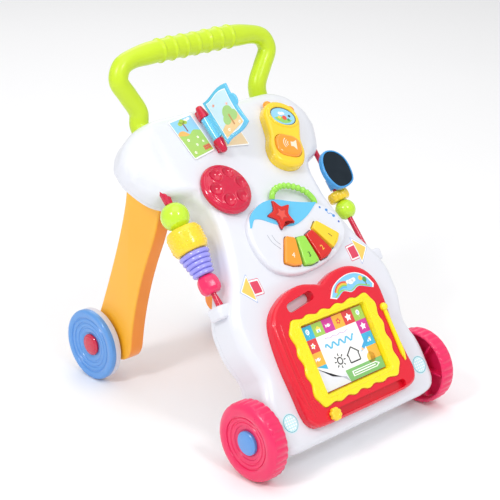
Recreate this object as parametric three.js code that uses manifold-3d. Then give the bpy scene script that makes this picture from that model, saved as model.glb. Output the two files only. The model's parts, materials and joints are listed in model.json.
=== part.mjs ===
// A push-along baby walker with an activity panel: a hollow plastic body that leans back between four
// wheels, a looped handle, and toys that turn, slide and press. Millimetres, +Z up, the front faces -Y.
import * as THREE from "three";
import { mergeVertices } from "three/addons/utils/BufferGeometryUtils.js";
import Module from "manifold-3d";

const wasm = await Module();
wasm.setup();

// ---- Driving sizes ----------------------------------------------------------------------------------
const GAP = 0.3; // between pieces that touch
const RUNNING_GAP = 0.4; // around pieces that turn or slide
const WALL = 2.5; // moulded shell wall

const WHEELBASE = 347;
const FRONT_WHEEL_R = 51;
const FRONT_WHEEL_WIDTH = 25;
const FRONT_TRACK_HALF = 170; // middle plane to the front wheel's outer face
const REAR_WHEEL_R = 50;
const REAR_WHEEL_WIDTH = 17;
const REAR_TRACK_HALF = 137;
const FRONT_CAP_R = 15.5;
const REAR_CAP_R = 15;
const AXLE_R = 4;

const BODY_HALF_WIDTH = 143; // lower body
const WING_HALF_WIDTH = 164; // shoulders under the handle
const WAIST_HALF_WIDTH = 95;
const SEAM_DEPTH = 42; // front face to the joint between the two shells
const BODY_DEPTH = 56; // front face to the rear face
const BODY_BOTTOM = 50; // distances along the panel, from where its plane meets the floor
const BODY_TOP = 512;

const LOWER_TILT = 34.6; // degrees back from upright
const MIDDLE_TILT = 41.3;
const UPPER_TILT = 48;
const PANEL_FOOT_Y = -77.5; // where the lower panel's plane meets the floor
const FIRST_BEND = 254; // along the panel
const SECOND_BEND = 370;

const HANDLE_HALF_WIDTH = 106; // at the sockets
const HANDLE_BULGE = 130; // at the widest
const HANDLE_HEIGHT = 92; // above the sockets
const HANDLE_TILT = 10;
const HANDLE_TUBE_R = 12.5;
const HANDLE_GRIP_R = 15.2;
const GRIP_HALF_LENGTH = 78;
const GRIP_RIBS = 7;
const GRIP_RIB_PITCH = 20;
const GRIP_RIB_HEIGHT = 1.8;
const HANDLE_DEPTH = 26; // behind the front face

const LEG_THICKNESS = 24;
const LEG_OUTER = 116; // middle plane to the leg's outer face

const ROD_R = 3.5;
const ROD_OFFSET = 135; // middle plane to the rod
const ROD_LOW = { s: 248, n: -22 };
const ROD_HIGH = { s: 415, n: -18 };

const BOARD_THICKNESS = 14;
const DIAL_R = 36;

// ---- Colours ----------------------------------------------------------------------------------------
const plastic = (colour, roughness = 0.35) =>
  new THREE.MeshStandardMaterial({ color: colour, roughness, metalness: 0 });
const WHITE = plastic("#f1f2f6");
const LIME = plastic("#c9e23c");
const ORANGE = plastic("#fb9a1f");
const AMBER = plastic("#ffb02e");
const YELLOW = plastic("#fbd63a");
const SUNNY = plastic("#ffe81f");
const RED = plastic("#e8203f");
const CRIMSON = plastic("#c8123f");
const PINK = plastic("#f0306a");
const SKY = plastic("#4fb3e8");
const BLUE = plastic("#5a94dd");
const PALE = plastic("#e3e6f2", 0.6);
const LAVENDER = plastic("#8b8be0");
const GREEN = plastic("#7fd13b");
const PAPER = plastic("#dcecf5", 0.7);
const BLACK = plastic("#2b2b30", 0.5);
const BOARD_GREEN = plastic("#1f6a3c", 0.6);
const STEEL = new THREE.MeshStandardMaterial({ color: "#b9bcc2", roughness: 0.3, metalness: 1 });
const MIRROR = new THREE.MeshStandardMaterial({ color: "#3b4450", roughness: 0.05, metalness: 1 });

// ---- Solids: join and cut ---------------------------------------------------------------------------
function solidOf(geometry) {
  const bare = new THREE.BufferGeometry();
  bare.setAttribute("position", geometry.getAttribute("position"));
  if (geometry.index) bare.setIndex(geometry.index);
  const merged = mergeVertices(bare, 1e-3);
  return new wasm.Manifold(
    new wasm.Mesh({
      numProp: 3,
      vertProperties: new Float32Array(merged.attributes.position.array),
      triVerts: new Uint32Array(merged.index.array),
    }),
  );
}

function geometryOf(solid) {
  const { vertProperties, triVerts } = solid.getMesh();
  const geometry = new THREE.BufferGeometry();
  geometry.setAttribute("position", new THREE.BufferAttribute(vertProperties, 3));
  geometry.setIndex(new THREE.BufferAttribute(triVerts, 1));
  return geometry;
}

const join = (geometries) =>
  geometryOf(geometries.map(solidOf).reduce((whole, piece) => whole.add(piece)));
const cut = (geometry, ...cutters) =>
  geometryOf(cutters.map(solidOf).reduce((left, cutter) => left.subtract(cutter), solidOf(geometry)));

// ---- Basic shapes -----------------------------------------------------------------------------------
const box = (width, height, depth, x, y, z) =>
  new THREE.BoxGeometry(width, height, depth).translate(x, y, z);

// A solid of revolution about local Z from [radius, z] points that start and end on the axis,
// or that close on themselves around a bore.
function turned(profile, sides = 20) {
  const points = profile.map(([radius, z]) => new THREE.Vector2(radius, z));
  return new THREE.LatheGeometry(points, sides).rotateX(Math.PI / 2);
}

const cylinder = (radius, low, high, sides = 20) =>
  turned([[0, low], [radius, low], [radius, high], [0, high]], sides);

// A plate between two heights with a small rounded edge inside its outline.
function plate(shape, low, high, edge = 0, curveSegments = 3) {
  const geometry = new THREE.ExtrudeGeometry(shape, {
    depth: high - low - 2 * edge,
    bevelEnabled: edge > 0,
    bevelThickness: edge,
    bevelSize: edge,
    bevelOffset: -edge,
    bevelSegments: 1,
    curveSegments,
  });
  return geometry.translate(0, 0, low + edge);
}

// A closed smooth outline through its main points.
function smoothOutline(points, samples) {
  const curve = new THREE.CatmullRomCurve3(
    points.map(([x, y]) => new THREE.Vector3(x, y, 0)),
    true,
    "centripetal",
  );
  return new THREE.Shape(curve.getPoints(samples).slice(0, -1).map((p) => new THREE.Vector2(p.x, p.y)));
}

function roundedRect(x0, y0, x1, y1, radius) {
  const shape = new THREE.Shape();
  shape.moveTo(x0 + radius, y0);
  shape.lineTo(x1 - radius, y0);
  shape.absarc(x1 - radius, y0 + radius, radius, -Math.PI / 2, 0);
  shape.lineTo(x1, y1 - radius);
  shape.absarc(x1 - radius, y1 - radius, radius, 0, Math.PI / 2);
  shape.lineTo(x0 + radius, y1);
  shape.absarc(x0 + radius, y1 - radius, radius, Math.PI / 2, Math.PI);
  shape.lineTo(x0, y0 + radius);
  shape.absarc(x0 + radius, y0 + radius, radius, Math.PI, 1.5 * Math.PI);
  return shape;
}

function disc(x, y, radius, sides) {
  const shape = new THREE.Shape();
  for (let i = 0; i < sides; i++) {
    const angle = (2 * Math.PI * i) / sides;
    const point = [x + radius * Math.cos(angle), y + radius * Math.sin(angle)];
    if (i) shape.lineTo(...point);
    else shape.moveTo(...point);
  }
  return shape;
}

// ---- The leaning panel ------------------------------------------------------------------------------
// Three flat stretches, each with its own frame: local X across, Y up along the panel (s), Z outwards (n).
const radians = THREE.MathUtils.degToRad;
const climb = (tilt) => new THREE.Vector3(0, Math.sin(radians(tilt)), Math.cos(radians(tilt)));
const outward = (tilt) => new THREE.Vector3(0, -Math.cos(radians(tilt)), Math.sin(radians(tilt)));

const foot = new THREE.Vector3(0, PANEL_FOOT_Y, 0);
const firstBend = foot.clone().addScaledVector(climb(LOWER_TILT), FIRST_BEND);
const secondBend = firstBend.clone().addScaledVector(climb(MIDDLE_TILT), SECOND_BEND - FIRST_BEND);

function panelFrame(tilt, point, s) {
  const frame = new THREE.Group();
  frame.position.copy(point).addScaledVector(climb(tilt), -s);
  frame.rotation.x = Math.PI / 2 - radians(tilt);
  frame.updateMatrix();
  return frame;
}
const lowerPanel = panelFrame(LOWER_TILT, foot, 0);
const middlePanel = panelFrame(MIDDLE_TILT, firstBend, FIRST_BEND);
const upperPanel = panelFrame(UPPER_TILT, secondBend, SECOND_BEND);

function stationOf(s) {
  if (s === FIRST_BEND) return { point: firstBend, tilt: (LOWER_TILT + MIDDLE_TILT) / 2 };
  if (s === SECOND_BEND) return { point: secondBend, tilt: (MIDDLE_TILT + UPPER_TILT) / 2 };
  const [point, from, tilt] =
    s < FIRST_BEND
      ? [foot, 0, LOWER_TILT]
      : s < SECOND_BEND
        ? [firstBend, FIRST_BEND, MIDDLE_TILT]
        : [secondBend, SECOND_BEND, UPPER_TILT];
  return { point: point.clone().addScaledVector(climb(tilt), s - from), tilt };
}

function onPanel(x, s, n) {
  const { point, tilt } = stationOf(s);
  return point.clone().addScaledVector(outward(tilt), n).setX(x);
}

// ---- The part ---------------------------------------------------------------------------------------
const walker = new THREE.Group();
walker.position.y = (FRONT_WHEEL_R - WHEELBASE - REAR_WHEEL_R) / 2; // origin under the middle of the box
walker.add(lowerPanel, middlePanel, upperPanel);

function add(parent, name, geometry, material) {
  const mesh = new THREE.Mesh(geometry, material);
  mesh.name = name;
  parent.add(mesh);
  return mesh;
}

// ---- Body shells: a loft through sections along the panel -------------------------------------------
// Each section: s, half width, front face set back, and the front corner's size across and in depth.
const WING = WING_HALF_WIDTH;
const LOW = BODY_HALF_WIDTH;
const WAIST = WAIST_HALF_WIDTH;
const SECTIONS = [
  [BODY_BOTTOM, LOW - 25, 12, 10, 8],
  [BODY_BOTTOM + 3, LOW - 13, 5, 14, 10],
  [BODY_BOTTOM + 10, LOW - 5, 1, 14, 14],
  [BODY_BOTTOM + 22, LOW - 1, 0, 14, 14],
  [105, LOW, 0, 14, 14],
  [122, LOW - 2, 0, 14, 14],
  [136, LOW - 7, 0, 14, 14],
  [150, LOW - 10, 0, 14, 14],
  [162, LOW - 8, 0, 14, 14],
  [178, LOW - 3, 0, 14, 14],
  [196, LOW, 0, 14, 14],
  [216, LOW, 0, 14, 14],
  [236, LOW - 5, 0, 14, 14],
  [FIRST_BEND, LOW - 14, 0, 14, 14],
  [276, WAIST + 22, 0, 14, 14],
  [300, WAIST + 13, 0, 14, 14],
  [330, WAIST + 4, 0, 14, 14],
  [352, WAIST, 0, 14, 14],
  [SECOND_BEND, WAIST, 0, 15, 15],
  [388, WAIST + 5, 0, 18, 17],
  [398, WAIST + 13, 0, 22, 20],
  [406, WING - 37, 0, 30, 25],
  [414, WING - 23, 0, 38, 28],
  [424, WING - 14, 0, 44, 31],
  [438, WING - 6, 0, 48, 32],
  [454, WING, 0, 50, 32],
  [470, WING, 0, 50, 32],
  [484, WING - 7, 0, 46, 30],
  [BODY_TOP - 17, WING - 17, 0, 40, 28],
  [BODY_TOP - 9, WING - 28, 2, 34, 24],
  [BODY_TOP - 3, WING - 41, 5, 28, 20],
  [BODY_TOP, WING - 54, 11, 20, 16],
];
const CORNER_STEPS = 4;

// Half a section, from the middle of the front face round to the back, as [x, depth] pairs.
function frontHalf(halfWidth, setBack, across, deep, back) {
  const points = [[0, setBack], [(halfWidth - across) * 0.6, setBack]];
  for (let i = 0; i <= CORNER_STEPS; i++) {
    const angle = (i / CORNER_STEPS) * (Math.PI / 2);
    points.push([
      halfWidth - across * (1 - Math.sin(angle)),
      setBack + deep * (1 - Math.cos(angle)),
    ]);
  }
  points.push([halfWidth, back]);
  return points;
}

function rearHalf(halfWidth, front, back, across, deep) {
  const points = [[0, back], [(halfWidth - across) * 0.6, back]];
  for (let i = 0; i <= CORNER_STEPS; i++) {
    const angle = (i / CORNER_STEPS) * (Math.PI / 2);
    points.push([halfWidth - across * (1 - Math.sin(angle)), back - deep * (1 - Math.cos(angle))]);
  }
  points.push([halfWidth, front]);
  return points;
}

// A closed solid through mirrored half sections; each is placed square to the panel at its s.
function loft(sections) {
  const rings = sections.map(({ s, half }) => {
    const mirrored = half.slice(1).reverse().map(([x, depth]) => [-x, depth]);
    return [...half, ...mirrored].map(([x, depth]) => onPanel(x, s, -depth));
  });
  const count = rings[0].length;
  const positions = rings.flat().flatMap((p) => [p.x, p.y, p.z]);
  const index = [];
  for (let r = 0; r + 1 < rings.length; r++) {
    for (let i = 0; i < count; i++) {
      const a = r * count + i;
      const b = r * count + ((i + 1) % count);
      index.push(a, a + count, b, b, a + count, b + count);
    }
  }
  for (const [start, flip] of [[0, false], [(rings.length - 1) * count, true]]) {
    for (let i = 1; i + 1 < count; i++) {
      const [b, c] = flip ? [start + i + 1, start + i] : [start + i, start + i + 1];
      index.push(start, b, c);
    }
  }
  const geometry = new THREE.BufferGeometry();
  geometry.setAttribute("position", new THREE.Float32BufferAttribute(positions, 3));
  geometry.setIndex(index);
  return facingOut(geometry);
}

// Turns a closed surface right side out, whichever way its rings ran.
function facingOut(geometry) {
  if (solidOf(geometry).volume() > 0) return geometry;
  const index = geometry.index.array;
  for (let i = 0; i < index.length; i += 3) [index[i], index[i + 1]] = [index[i + 1], index[i]];
  return geometry;
}

const insetS = (s, inset) => {
  if (s <= BODY_BOTTOM + inset) return BODY_BOTTOM + inset;
  if (s >= BODY_TOP - inset) return BODY_TOP - inset;
  return s;
};
function bodySections(inset, halfOf) {
  const seen = new Set();
  return SECTIONS.map(([s, halfWidth, setBack, across, deep]) => ({
    s: insetS(s, inset),
    half: halfOf(halfWidth - inset, setBack + inset, across, deep),
  })).filter(({ s }) => !seen.has(s) && seen.add(s));
}

const REAR_CORNER_DEEP = 11;
const frontOuter = loft(
  bodySections(0, (w, set, across, deep) => frontHalf(w, set, across, deep, SEAM_DEPTH)),
);
const frontInner = loft(
  bodySections(WALL, (w, set, across, deep) => frontHalf(w, set, across, deep, SEAM_DEPTH + 4)),
);
const rearOuter = loft(
  bodySections(0, (w, set, across) =>
    rearHalf(w, SEAM_DEPTH + GAP, BODY_DEPTH, across * 0.7, REAR_CORNER_DEEP),
  ),
);
const rearInner = loft(
  bodySections(WALL, (w, set, across) =>
    rearHalf(w, SEAM_DEPTH - 4, BODY_DEPTH - WALL, across * 0.7, REAR_CORNER_DEEP),
  ),
);

// ---- Bead rods on both sides ------------------------------------------------------------------------
const rodEnds = (side) => [
  onPanel(side * ROD_OFFSET, ROD_LOW.s, ROD_LOW.n),
  onPanel(side * ROD_OFFSET, ROD_HIGH.s, ROD_HIGH.n),
];
// A frame whose Z runs up the rod from its lower end and whose X stays level.
function rodFrame(side) {
  const [low, high] = rodEnds(side);
  const frame = new THREE.Group();
  frame.position.copy(low);
  const up = high.clone().sub(low).normalize();
  const across = new THREE.Vector3(1, 0, 0);
  const front = up.clone().cross(across);
  frame.quaternion.setFromRotationMatrix(new THREE.Matrix4().makeBasis(across, front, up));
  frame.updateMatrix();
  return frame;
}
const leftRod = rodFrame(-1);
const rightRod = rodFrame(1);
walker.add(leftRod, rightRod);
const [rodLow, rodHigh] = rodEnds(1);
const ROD_LENGTH = rodLow.distanceTo(rodHigh);

// ---- Front shell ------------------------------------------------------------------------------------
// The lug on each side holds the rod's lower end.
const LUG = { reach: 13, low: 236, high: 253, front: 10, back: 36 };
const rodLug = (side) =>
  box(
    ROD_OFFSET + LUG.reach - (LOW - 20),
    LUG.high - LUG.low,
    LUG.back - LUG.front,
    (side * (ROD_OFFSET + LUG.reach + LOW - 20)) / 2,
    (LUG.low + LUG.high) / 2,
    -(LUG.front + LUG.back) / 2,
  ).applyMatrix4(lowerPanel.matrix);
const rodHole = (frame) =>
  cylinder(ROD_R + RUNNING_GAP, -1, ROD_LENGTH + 1, 16).applyMatrix4(frame.matrix);
const axleHole = cylinder(AXLE_R + RUNNING_GAP, -BODY_HALF_WIDTH - 5, BODY_HALF_WIDTH + 5, 20)
  .rotateY(Math.PI / 2)
  .translate(0, 0, FRONT_WHEEL_R);

// The handle's centre line: up inside each shoulder, out through the top and round the grip.
const handleFoot = onPanel(HANDLE_HALF_WIDTH, BODY_TOP + 3, -HANDLE_DEPTH);
const handlePoint = (x, height) => [
  x,
  handleFoot.y + height * Math.sin(radians(HANDLE_TILT)),
  handleFoot.z + height * Math.cos(radians(HANDLE_TILT)),
];
const SOCKET_LENGTH = 45;
const socket = onPanel(HANDLE_HALF_WIDTH, BODY_TOP - SOCKET_LENGTH, -HANDLE_DEPTH).toArray();
const middleOfSocket = onPanel(HANDLE_HALF_WIDTH, BODY_TOP - SOCKET_LENGTH / 2, -HANDLE_DEPTH).toArray();
const rightHalfLine = [
  socket,
  middleOfSocket,
  handlePoint(HANDLE_HALF_WIDTH, 2),
  handlePoint(HANDLE_HALF_WIDTH - 1, HANDLE_HEIGHT * 0.22),
  handlePoint((HANDLE_HALF_WIDTH + HANDLE_BULGE) / 2, HANDLE_HEIGHT * 0.47),
  handlePoint(HANDLE_BULGE, HANDLE_HEIGHT * 0.71),
  handlePoint(HANDLE_BULGE - 11, HANDLE_HEIGHT * 0.91),
  handlePoint(GRIP_HALF_LENGTH, HANDLE_HEIGHT * 0.99),
];
const handleLine = new THREE.CatmullRomCurve3(
  [...rightHalfLine, handlePoint(0, HANDLE_HEIGHT), ...rightHalfLine.map(([x, y, z]) => [-x, y, z]).reverse()]
    .map((p) => new THREE.Vector3(...p)),
  false,
  "centripetal",
);

// The tube swells into the grip, where raised ribs stand round it.
const gripSwell = (x) => THREE.MathUtils.smoothstep(GRIP_HALF_LENGTH + 30 - Math.abs(x), 0, 34);
function onRib(x) {
  const nearest = Math.round(x / GRIP_RIB_PITCH);
  return Math.abs(nearest) <= (GRIP_RIBS - 1) / 2 && Math.abs(x - nearest * GRIP_RIB_PITCH) < 2.4;
}
const HANDLE_STEPS = 84;
function handleTube(clearance, steps, ribs) {
  const geometry = new THREE.ExtrudeGeometry(disc(0, 0, HANDLE_TUBE_R + clearance, 10), {
    steps,
    extrudePath: handleLine,
  });
  const line = handleLine.getSpacedPoints(steps);
  const gripFloor = handleFoot.z + HANDLE_HEIGHT * 0.75;
  const position = geometry.attributes.position;
  const vertex = new THREE.Vector3();
  for (let i = 0; i < position.count; i++) {
    vertex.fromBufferAttribute(position, i);
    const middle = line.reduce((a, b) => (a.distanceToSquared(vertex) < b.distanceToSquared(vertex) ? a : b));
    if (!ribs || middle.z < gripFloor) continue;
    const swollen = THREE.MathUtils.lerp(HANDLE_TUBE_R, HANDLE_GRIP_R, gripSwell(middle.x));
    const radius = swollen + (onRib(middle.x) ? GRIP_RIB_HEIGHT : 0);
    vertex.sub(middle).multiplyScalar(radius / HANDLE_TUBE_R).add(middle);
    position.setXYZ(i, vertex.x, vertex.y, vertex.z);
  }
  return geometry;
}
add(walker, "handle", handleTube(0, HANDLE_STEPS, true), LIME);

const BOSS_SPOTS = [[-28, 285], [28, 285], [-28, 325], [28, 325]];
const BOSS_DEPTH = 10;
const boardBosses = BOSS_SPOTS.map(([x, s]) =>
  cylinder(3, -BOSS_DEPTH, -WALL + 1, 8).translate(x, s, 0).applyMatrix4(middlePanel.matrix),
);
const shellWall = cut(join([frontOuter, rodLug(-1), rodLug(1)]), frontInner);
add(
  walker,
  "front_shell",
  cut(
    join([shellWall, ...boardBosses]),
    rodHole(leftRod),
    rodHole(rightRod),
    axleHole,
    handleTube(RUNNING_GAP, HANDLE_STEPS, false),
  ),
  WHITE,
);

// ---- Rear shell with the battery box, the switch and the loudspeaker --------------------------------
const BATTERY = { r: 7.1, length: 50, count: 3, pitch: 15, s: 200 };
const TRAY = { halfX: 28.5, halfS: 26, wall: 2, floor: 37 };
const trayBox = (grow, front, back) =>
  box(
    2 * (TRAY.halfX + grow),
    2 * (TRAY.halfS + grow),
    back - front,
    0,
    BATTERY.s,
    -(front + back) / 2,
  );
add(
  lowerPanel,
  "battery_box",
  cut(trayBox(0, TRAY.floor, BODY_DEPTH), trayBox(-TRAY.wall, TRAY.floor + TRAY.wall, BODY_DEPTH + 1)),
  BLACK,
);
for (let i = 0; i < BATTERY.count; i++) {
  const s = BATTERY.s + (i - (BATTERY.count - 1) / 2) * BATTERY.pitch;
  const cell = turned([
    [0, -BATTERY.length / 2],
    [BATTERY.r, -BATTERY.length / 2],
    [BATTERY.r, BATTERY.length / 2 - 1],
    [2.6, BATTERY.length / 2 - 1],
    [2.6, BATTERY.length / 2],
    [0, BATTERY.length / 2],
  ], 16)
    .rotateY(i % 2 ? Math.PI / 2 : -Math.PI / 2)
    .translate(0, s, -(TRAY.floor + TRAY.wall + BATTERY.r + GAP));
  add(lowerPanel, `battery_${i + 1}`, cell, STEEL);
}

const COVER_THICKNESS = 2.4;
const COVER_LIP = 5;
const COVER_EAR = 12;
const SCREW_R = 1.4;
const screwS = BATTERY.s + TRAY.halfS + COVER_LIP + COVER_EAR / 2 - 2;
const coverBack = BODY_DEPTH + GAP + COVER_THICKNESS;
const screwHole = (back) => cylinder(SCREW_R + RUNNING_GAP, -back, -SEAM_DEPTH, 10).translate(0, screwS, 0);
const coverOutline = roundedRect(
  -TRAY.halfX - COVER_LIP,
  BATTERY.s - TRAY.halfS - COVER_LIP,
  TRAY.halfX + COVER_LIP,
  BATTERY.s + TRAY.halfS + COVER_LIP + COVER_EAR,
  5,
);
add(
  lowerPanel,
  "battery_cover",
  cut(plate(coverOutline, -coverBack, -BODY_DEPTH - GAP, 0, 3), screwHole(coverBack + 1)),
  WHITE,
);
add(
  lowerPanel,
  "battery_cover_screw",
  turned([
    [0, -coverBack - GAP - 1.8],
    [2.6, -coverBack - GAP - 1.4],
    [3, -coverBack - GAP],
    [SCREW_R, -coverBack - GAP],
    [SCREW_R, -SEAM_DEPTH - 3],
    [0, -SEAM_DEPTH - 2],
  ], 12).translate(0, screwS, 0),
  STEEL,
);

const SWITCH = { s: 128, slotX: 8, slotS: 3.6, knobX: 3.6, knobS: 3, travel: 8 };
add(
  lowerPanel,
  "power_switch",
  join([
    box(26, 12, 2, -SWITCH.travel / 2, SWITCH.s, -BODY_DEPTH + WALL + GAP + 1),
    box(
      2 * SWITCH.knobX, 2 * SWITCH.knobS, 8,
      -SWITCH.travel / 2, SWITCH.s, -BODY_DEPTH + WALL + GAP - 3,
    ),
  ]),
  BLACK,
);

const SPEAKER = { s: 330, r: 20, height: 13, slots: 5, slotPitch: 6 };
add(
  middlePanel,
  "speaker",
  turned([
    [0, -BODY_DEPTH + WALL + GAP],
    [SPEAKER.r, -BODY_DEPTH + WALL + GAP],
    [SPEAKER.r, -BODY_DEPTH + WALL + 3],
    [SPEAKER.r * 0.55, -BODY_DEPTH + WALL + SPEAKER.height - 3],
    [SPEAKER.r * 0.55, -BODY_DEPTH + WALL + SPEAKER.height],
    [0, -BODY_DEPTH + WALL + SPEAKER.height],
  ], 20).translate(0, SPEAKER.s, 0),
  BLACK,
);
const grilleSlots = [];
for (let i = 0; i < SPEAKER.slots; i++) {
  const offset = (i - (SPEAKER.slots - 1) / 2) * SPEAKER.slotPitch;
  const reach = Math.sqrt(SPEAKER.r ** 2 - offset ** 2) - 4;
  grilleSlots.push(
    box(2 * reach, 2.4, 12, 0, SPEAKER.s + offset, -BODY_DEPTH).applyMatrix4(middlePanel.matrix),
  );
}
add(
  middlePanel,
  "circuit_board",
  box(70, 52, 1.6, 0, 305, -BOSS_DEPTH - GAP - 0.8),
  BOARD_GREEN,
);

// A tongue on each leg passes through the rear shell.
const TONGUE = { s: 455, halfS: 16, halfX: 6, depth: 10 };
const legMiddle = LEG_OUTER - LEG_THICKNESS / 2;
const tongue = (side, grow) =>
  box(
    2 * (TONGUE.halfX + grow),
    2 * (TONGUE.halfS + grow),
    TONGUE.depth + 4,
    side * legMiddle,
    TONGUE.s,
    -BODY_DEPTH + (TONGUE.depth - 4) / 2,
  ).applyMatrix4(upperPanel.matrix);
add(
  walker,
  "rear_shell",
  cut(
    rearOuter,
    rearInner,
    trayBox(GAP, TRAY.floor - 2, BODY_DEPTH + 2).applyMatrix4(lowerPanel.matrix),
    screwHole(BODY_DEPTH + 2).applyMatrix4(lowerPanel.matrix),
    box(2 * SWITCH.slotX, 2 * SWITCH.slotS, 12, 0, SWITCH.s, -BODY_DEPTH).applyMatrix4(lowerPanel.matrix),
    ...grilleSlots,
    tongue(-1, RUNNING_GAP),
    tongue(1, RUNNING_GAP),
    handleTube(RUNNING_GAP, HANDLE_STEPS, false),
    axleHole,
  ),
  WHITE,
);

// ---- Rear legs --------------------------------------------------------------------------------------
const legTop = (s) => {
  const point = onPanel(0, s, -BODY_DEPTH - GAP);
  return [point.y, point.z];
};
function legShape() {
  const axleY = WHEELBASE;
  const axleZ = REAR_WHEEL_R;
  const [frontY, frontZ] = legTop(420);
  const [backY, backZ] = legTop(BODY_TOP - 12);
  const shape = new THREE.Shape();
  shape.moveTo(frontY, frontZ);
  shape.quadraticCurveTo(frontY + 8, frontZ - 40, axleY - 108, axleZ + 168);
  shape.quadraticCurveTo(axleY - 74, axleZ + 92, axleY - 64, axleZ + 16);
  shape.quadraticCurveTo(axleY - 62, axleZ - 13, axleY - 36, axleZ - 15);
  shape.lineTo(axleY - 8, axleZ - 16);
  shape.absarc(axleY, axleZ, 16, -Math.PI / 2, Math.PI * 0.12);
  shape.quadraticCurveTo(axleY + 4, axleZ + 40, axleY - 4, axleZ + 58);
  shape.quadraticCurveTo(axleY - 52, axleZ + 180, axleY - 60, axleZ + 230);
  shape.quadraticCurveTo(backY + 7, axleZ + 262, backY, backZ);
  return shape;
}
const PIN_HOLE_DEPTH = 18;
for (const [word, side] of [["left", -1], ["right", 1]]) {
  // The plate is drawn in (y, z) and stands upright across x.
  const leg = plate(legShape(), -LEG_THICKNESS / 2, LEG_THICKNESS / 2, 3, 5)
    .applyMatrix4(
      new THREE.Matrix4().makeBasis(
        new THREE.Vector3(0, 1, 0),
        new THREE.Vector3(0, 0, 1),
        new THREE.Vector3(1, 0, 0),
      ),
    )
    .translate(side * legMiddle, 0, 0);
  const aboveBody = box(400, 400, 100, 0, 450, -BODY_DEPTH - GAP + 50).applyMatrix4(upperPanel.matrix);
  const pinHole = cylinder(AXLE_R + GAP, LEG_OUTER - PIN_HOLE_DEPTH, LEG_OUTER + 5, 16)
    .rotateY((side * Math.PI) / 2)
    .translate(0, WHEELBASE, REAR_WHEEL_R);
  add(walker, `rear_leg_${word}`, cut(join([cut(leg, aboveBody), tongue(side, 0)]), pinHole), ORANGE);
}

// ---- Axles and wheels -------------------------------------------------------------------------------
const alongX = (geometry, side, y, z) => geometry.rotateY((side * Math.PI) / 2).translate(0, y, z);
const CAP_THICKNESS = 4;
const WHEEL_SIDES = 24;
const frontAxleEnd = FRONT_TRACK_HALF - CAP_THICKNESS - 3;
add(
  walker,
  "front_axle",
  alongX(cylinder(AXLE_R, -frontAxleEnd, frontAxleEnd, 16), 1, 0, FRONT_WHEEL_R),
  STEEL,
);

// Wheel profiles run along the axle from the inner face to the outer face, around a bore.
function frontWheel() {
  const outer = FRONT_TRACK_HALF;
  const inner = outer - FRONT_WHEEL_WIDTH;
  const R = FRONT_WHEEL_R;
  const bore = AXLE_R + RUNNING_GAP;
  const well = FRONT_CAP_R + 2;
  const between = (share) => well + (R - 10 - well) * share; // from the cap's well out to the rim
  return turned([
    [bore, inner + 2],
    [9, inner + 2],
    [9, outer - 10],
    [R - 7, outer - 10],
    [R - 5, inner],
    [R - 2, inner],
    [R, inner + 3],
    [R, outer - 7],
    [R - 3, outer - 2],
    [R - 10, outer],
    [between(29 / 47), outer - 2],
    [between(13 / 47), outer - 5],
    [well, outer - 5.5],
    [well, outer - CAP_THICKNESS - 2],
    [bore, outer - CAP_THICKNESS - 2],
    [bore, inner + 2],
  ], WHEEL_SIDES);
}
function rearWheel() {
  const outer = REAR_TRACK_HALF;
  const inner = outer - REAR_WHEEL_WIDTH;
  const R = REAR_WHEEL_R;
  const bore = AXLE_R + RUNNING_GAP;
  const well = REAR_CAP_R + 3;
  const between = (share) => well + (R - 12 - well) * share; // from the cap's well out to the rim
  return turned([
    [bore, inner],
    [10, inner],
    [10, inner + 2],
    [R - 8, inner + 2],
    [R - 8, outer - 8],
    [R, outer - 8],
    [R, outer - 3],
    [R - 3, outer],
    [R - 9, outer],
    [R - 12, outer - 2],
    [between(0.65), outer - 1],
    [well, outer - 4],
    [REAR_CAP_R + 1, outer - CAP_THICKNESS - 1],
    [bore, outer - CAP_THICKNESS - 1],
    [bore, inner],
  ], WHEEL_SIDES);
}
function rearTyre() {
  const inner = REAR_TRACK_HALF - REAR_WHEEL_WIDTH;
  const outer = REAR_TRACK_HALF - 8 - GAP;
  const R = REAR_WHEEL_R;
  return turned([
    [R - 8 + GAP, inner],
    [R - 2, inner],
    [R, inner + 2],
    [R, outer],
    [R - 8 + GAP, outer],
    [R - 8 + GAP, inner],
  ], WHEEL_SIDES);
}
const cap = (radius, outer, back) =>
  turned([[0, outer - back], [radius, outer - back], [radius, outer - 1.2], [radius - 3, outer], [0, outer]], 16);

for (const [word, side] of [["left", -1], ["right", 1]]) {
  add(walker, `front_wheel_${word}`, alongX(frontWheel(), side, 0, FRONT_WHEEL_R), PINK);
  add(
    walker,
    `front_hub_cap_${word}`,
    alongX(cap(FRONT_CAP_R, FRONT_TRACK_HALF, CAP_THICKNESS + 2 - GAP), side, 0, FRONT_WHEEL_R),
    BLUE,
  );
  const rearPin = cylinder(AXLE_R, LEG_OUTER - PIN_HOLE_DEPTH + GAP, REAR_TRACK_HALF - CAP_THICKNESS - 3, 16);
  add(walker, `rear_axle_${word}`, alongX(rearPin, side, WHEELBASE, REAR_WHEEL_R), STEEL);
  add(walker, `rear_wheel_${word}`, alongX(rearWheel(), side, WHEELBASE, REAR_WHEEL_R), BLUE);
  add(walker, `rear_tyre_${word}`, alongX(rearTyre(), side, WHEELBASE, REAR_WHEEL_R), PALE);
  add(
    walker,
    `rear_hub_cap_${word}`,
    alongX(cap(REAR_CAP_R, REAR_TRACK_HALF, CAP_THICKNESS + 1 - GAP), side, WHEELBASE, REAR_WHEEL_R),
    CRIMSON,
  );
}

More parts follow.
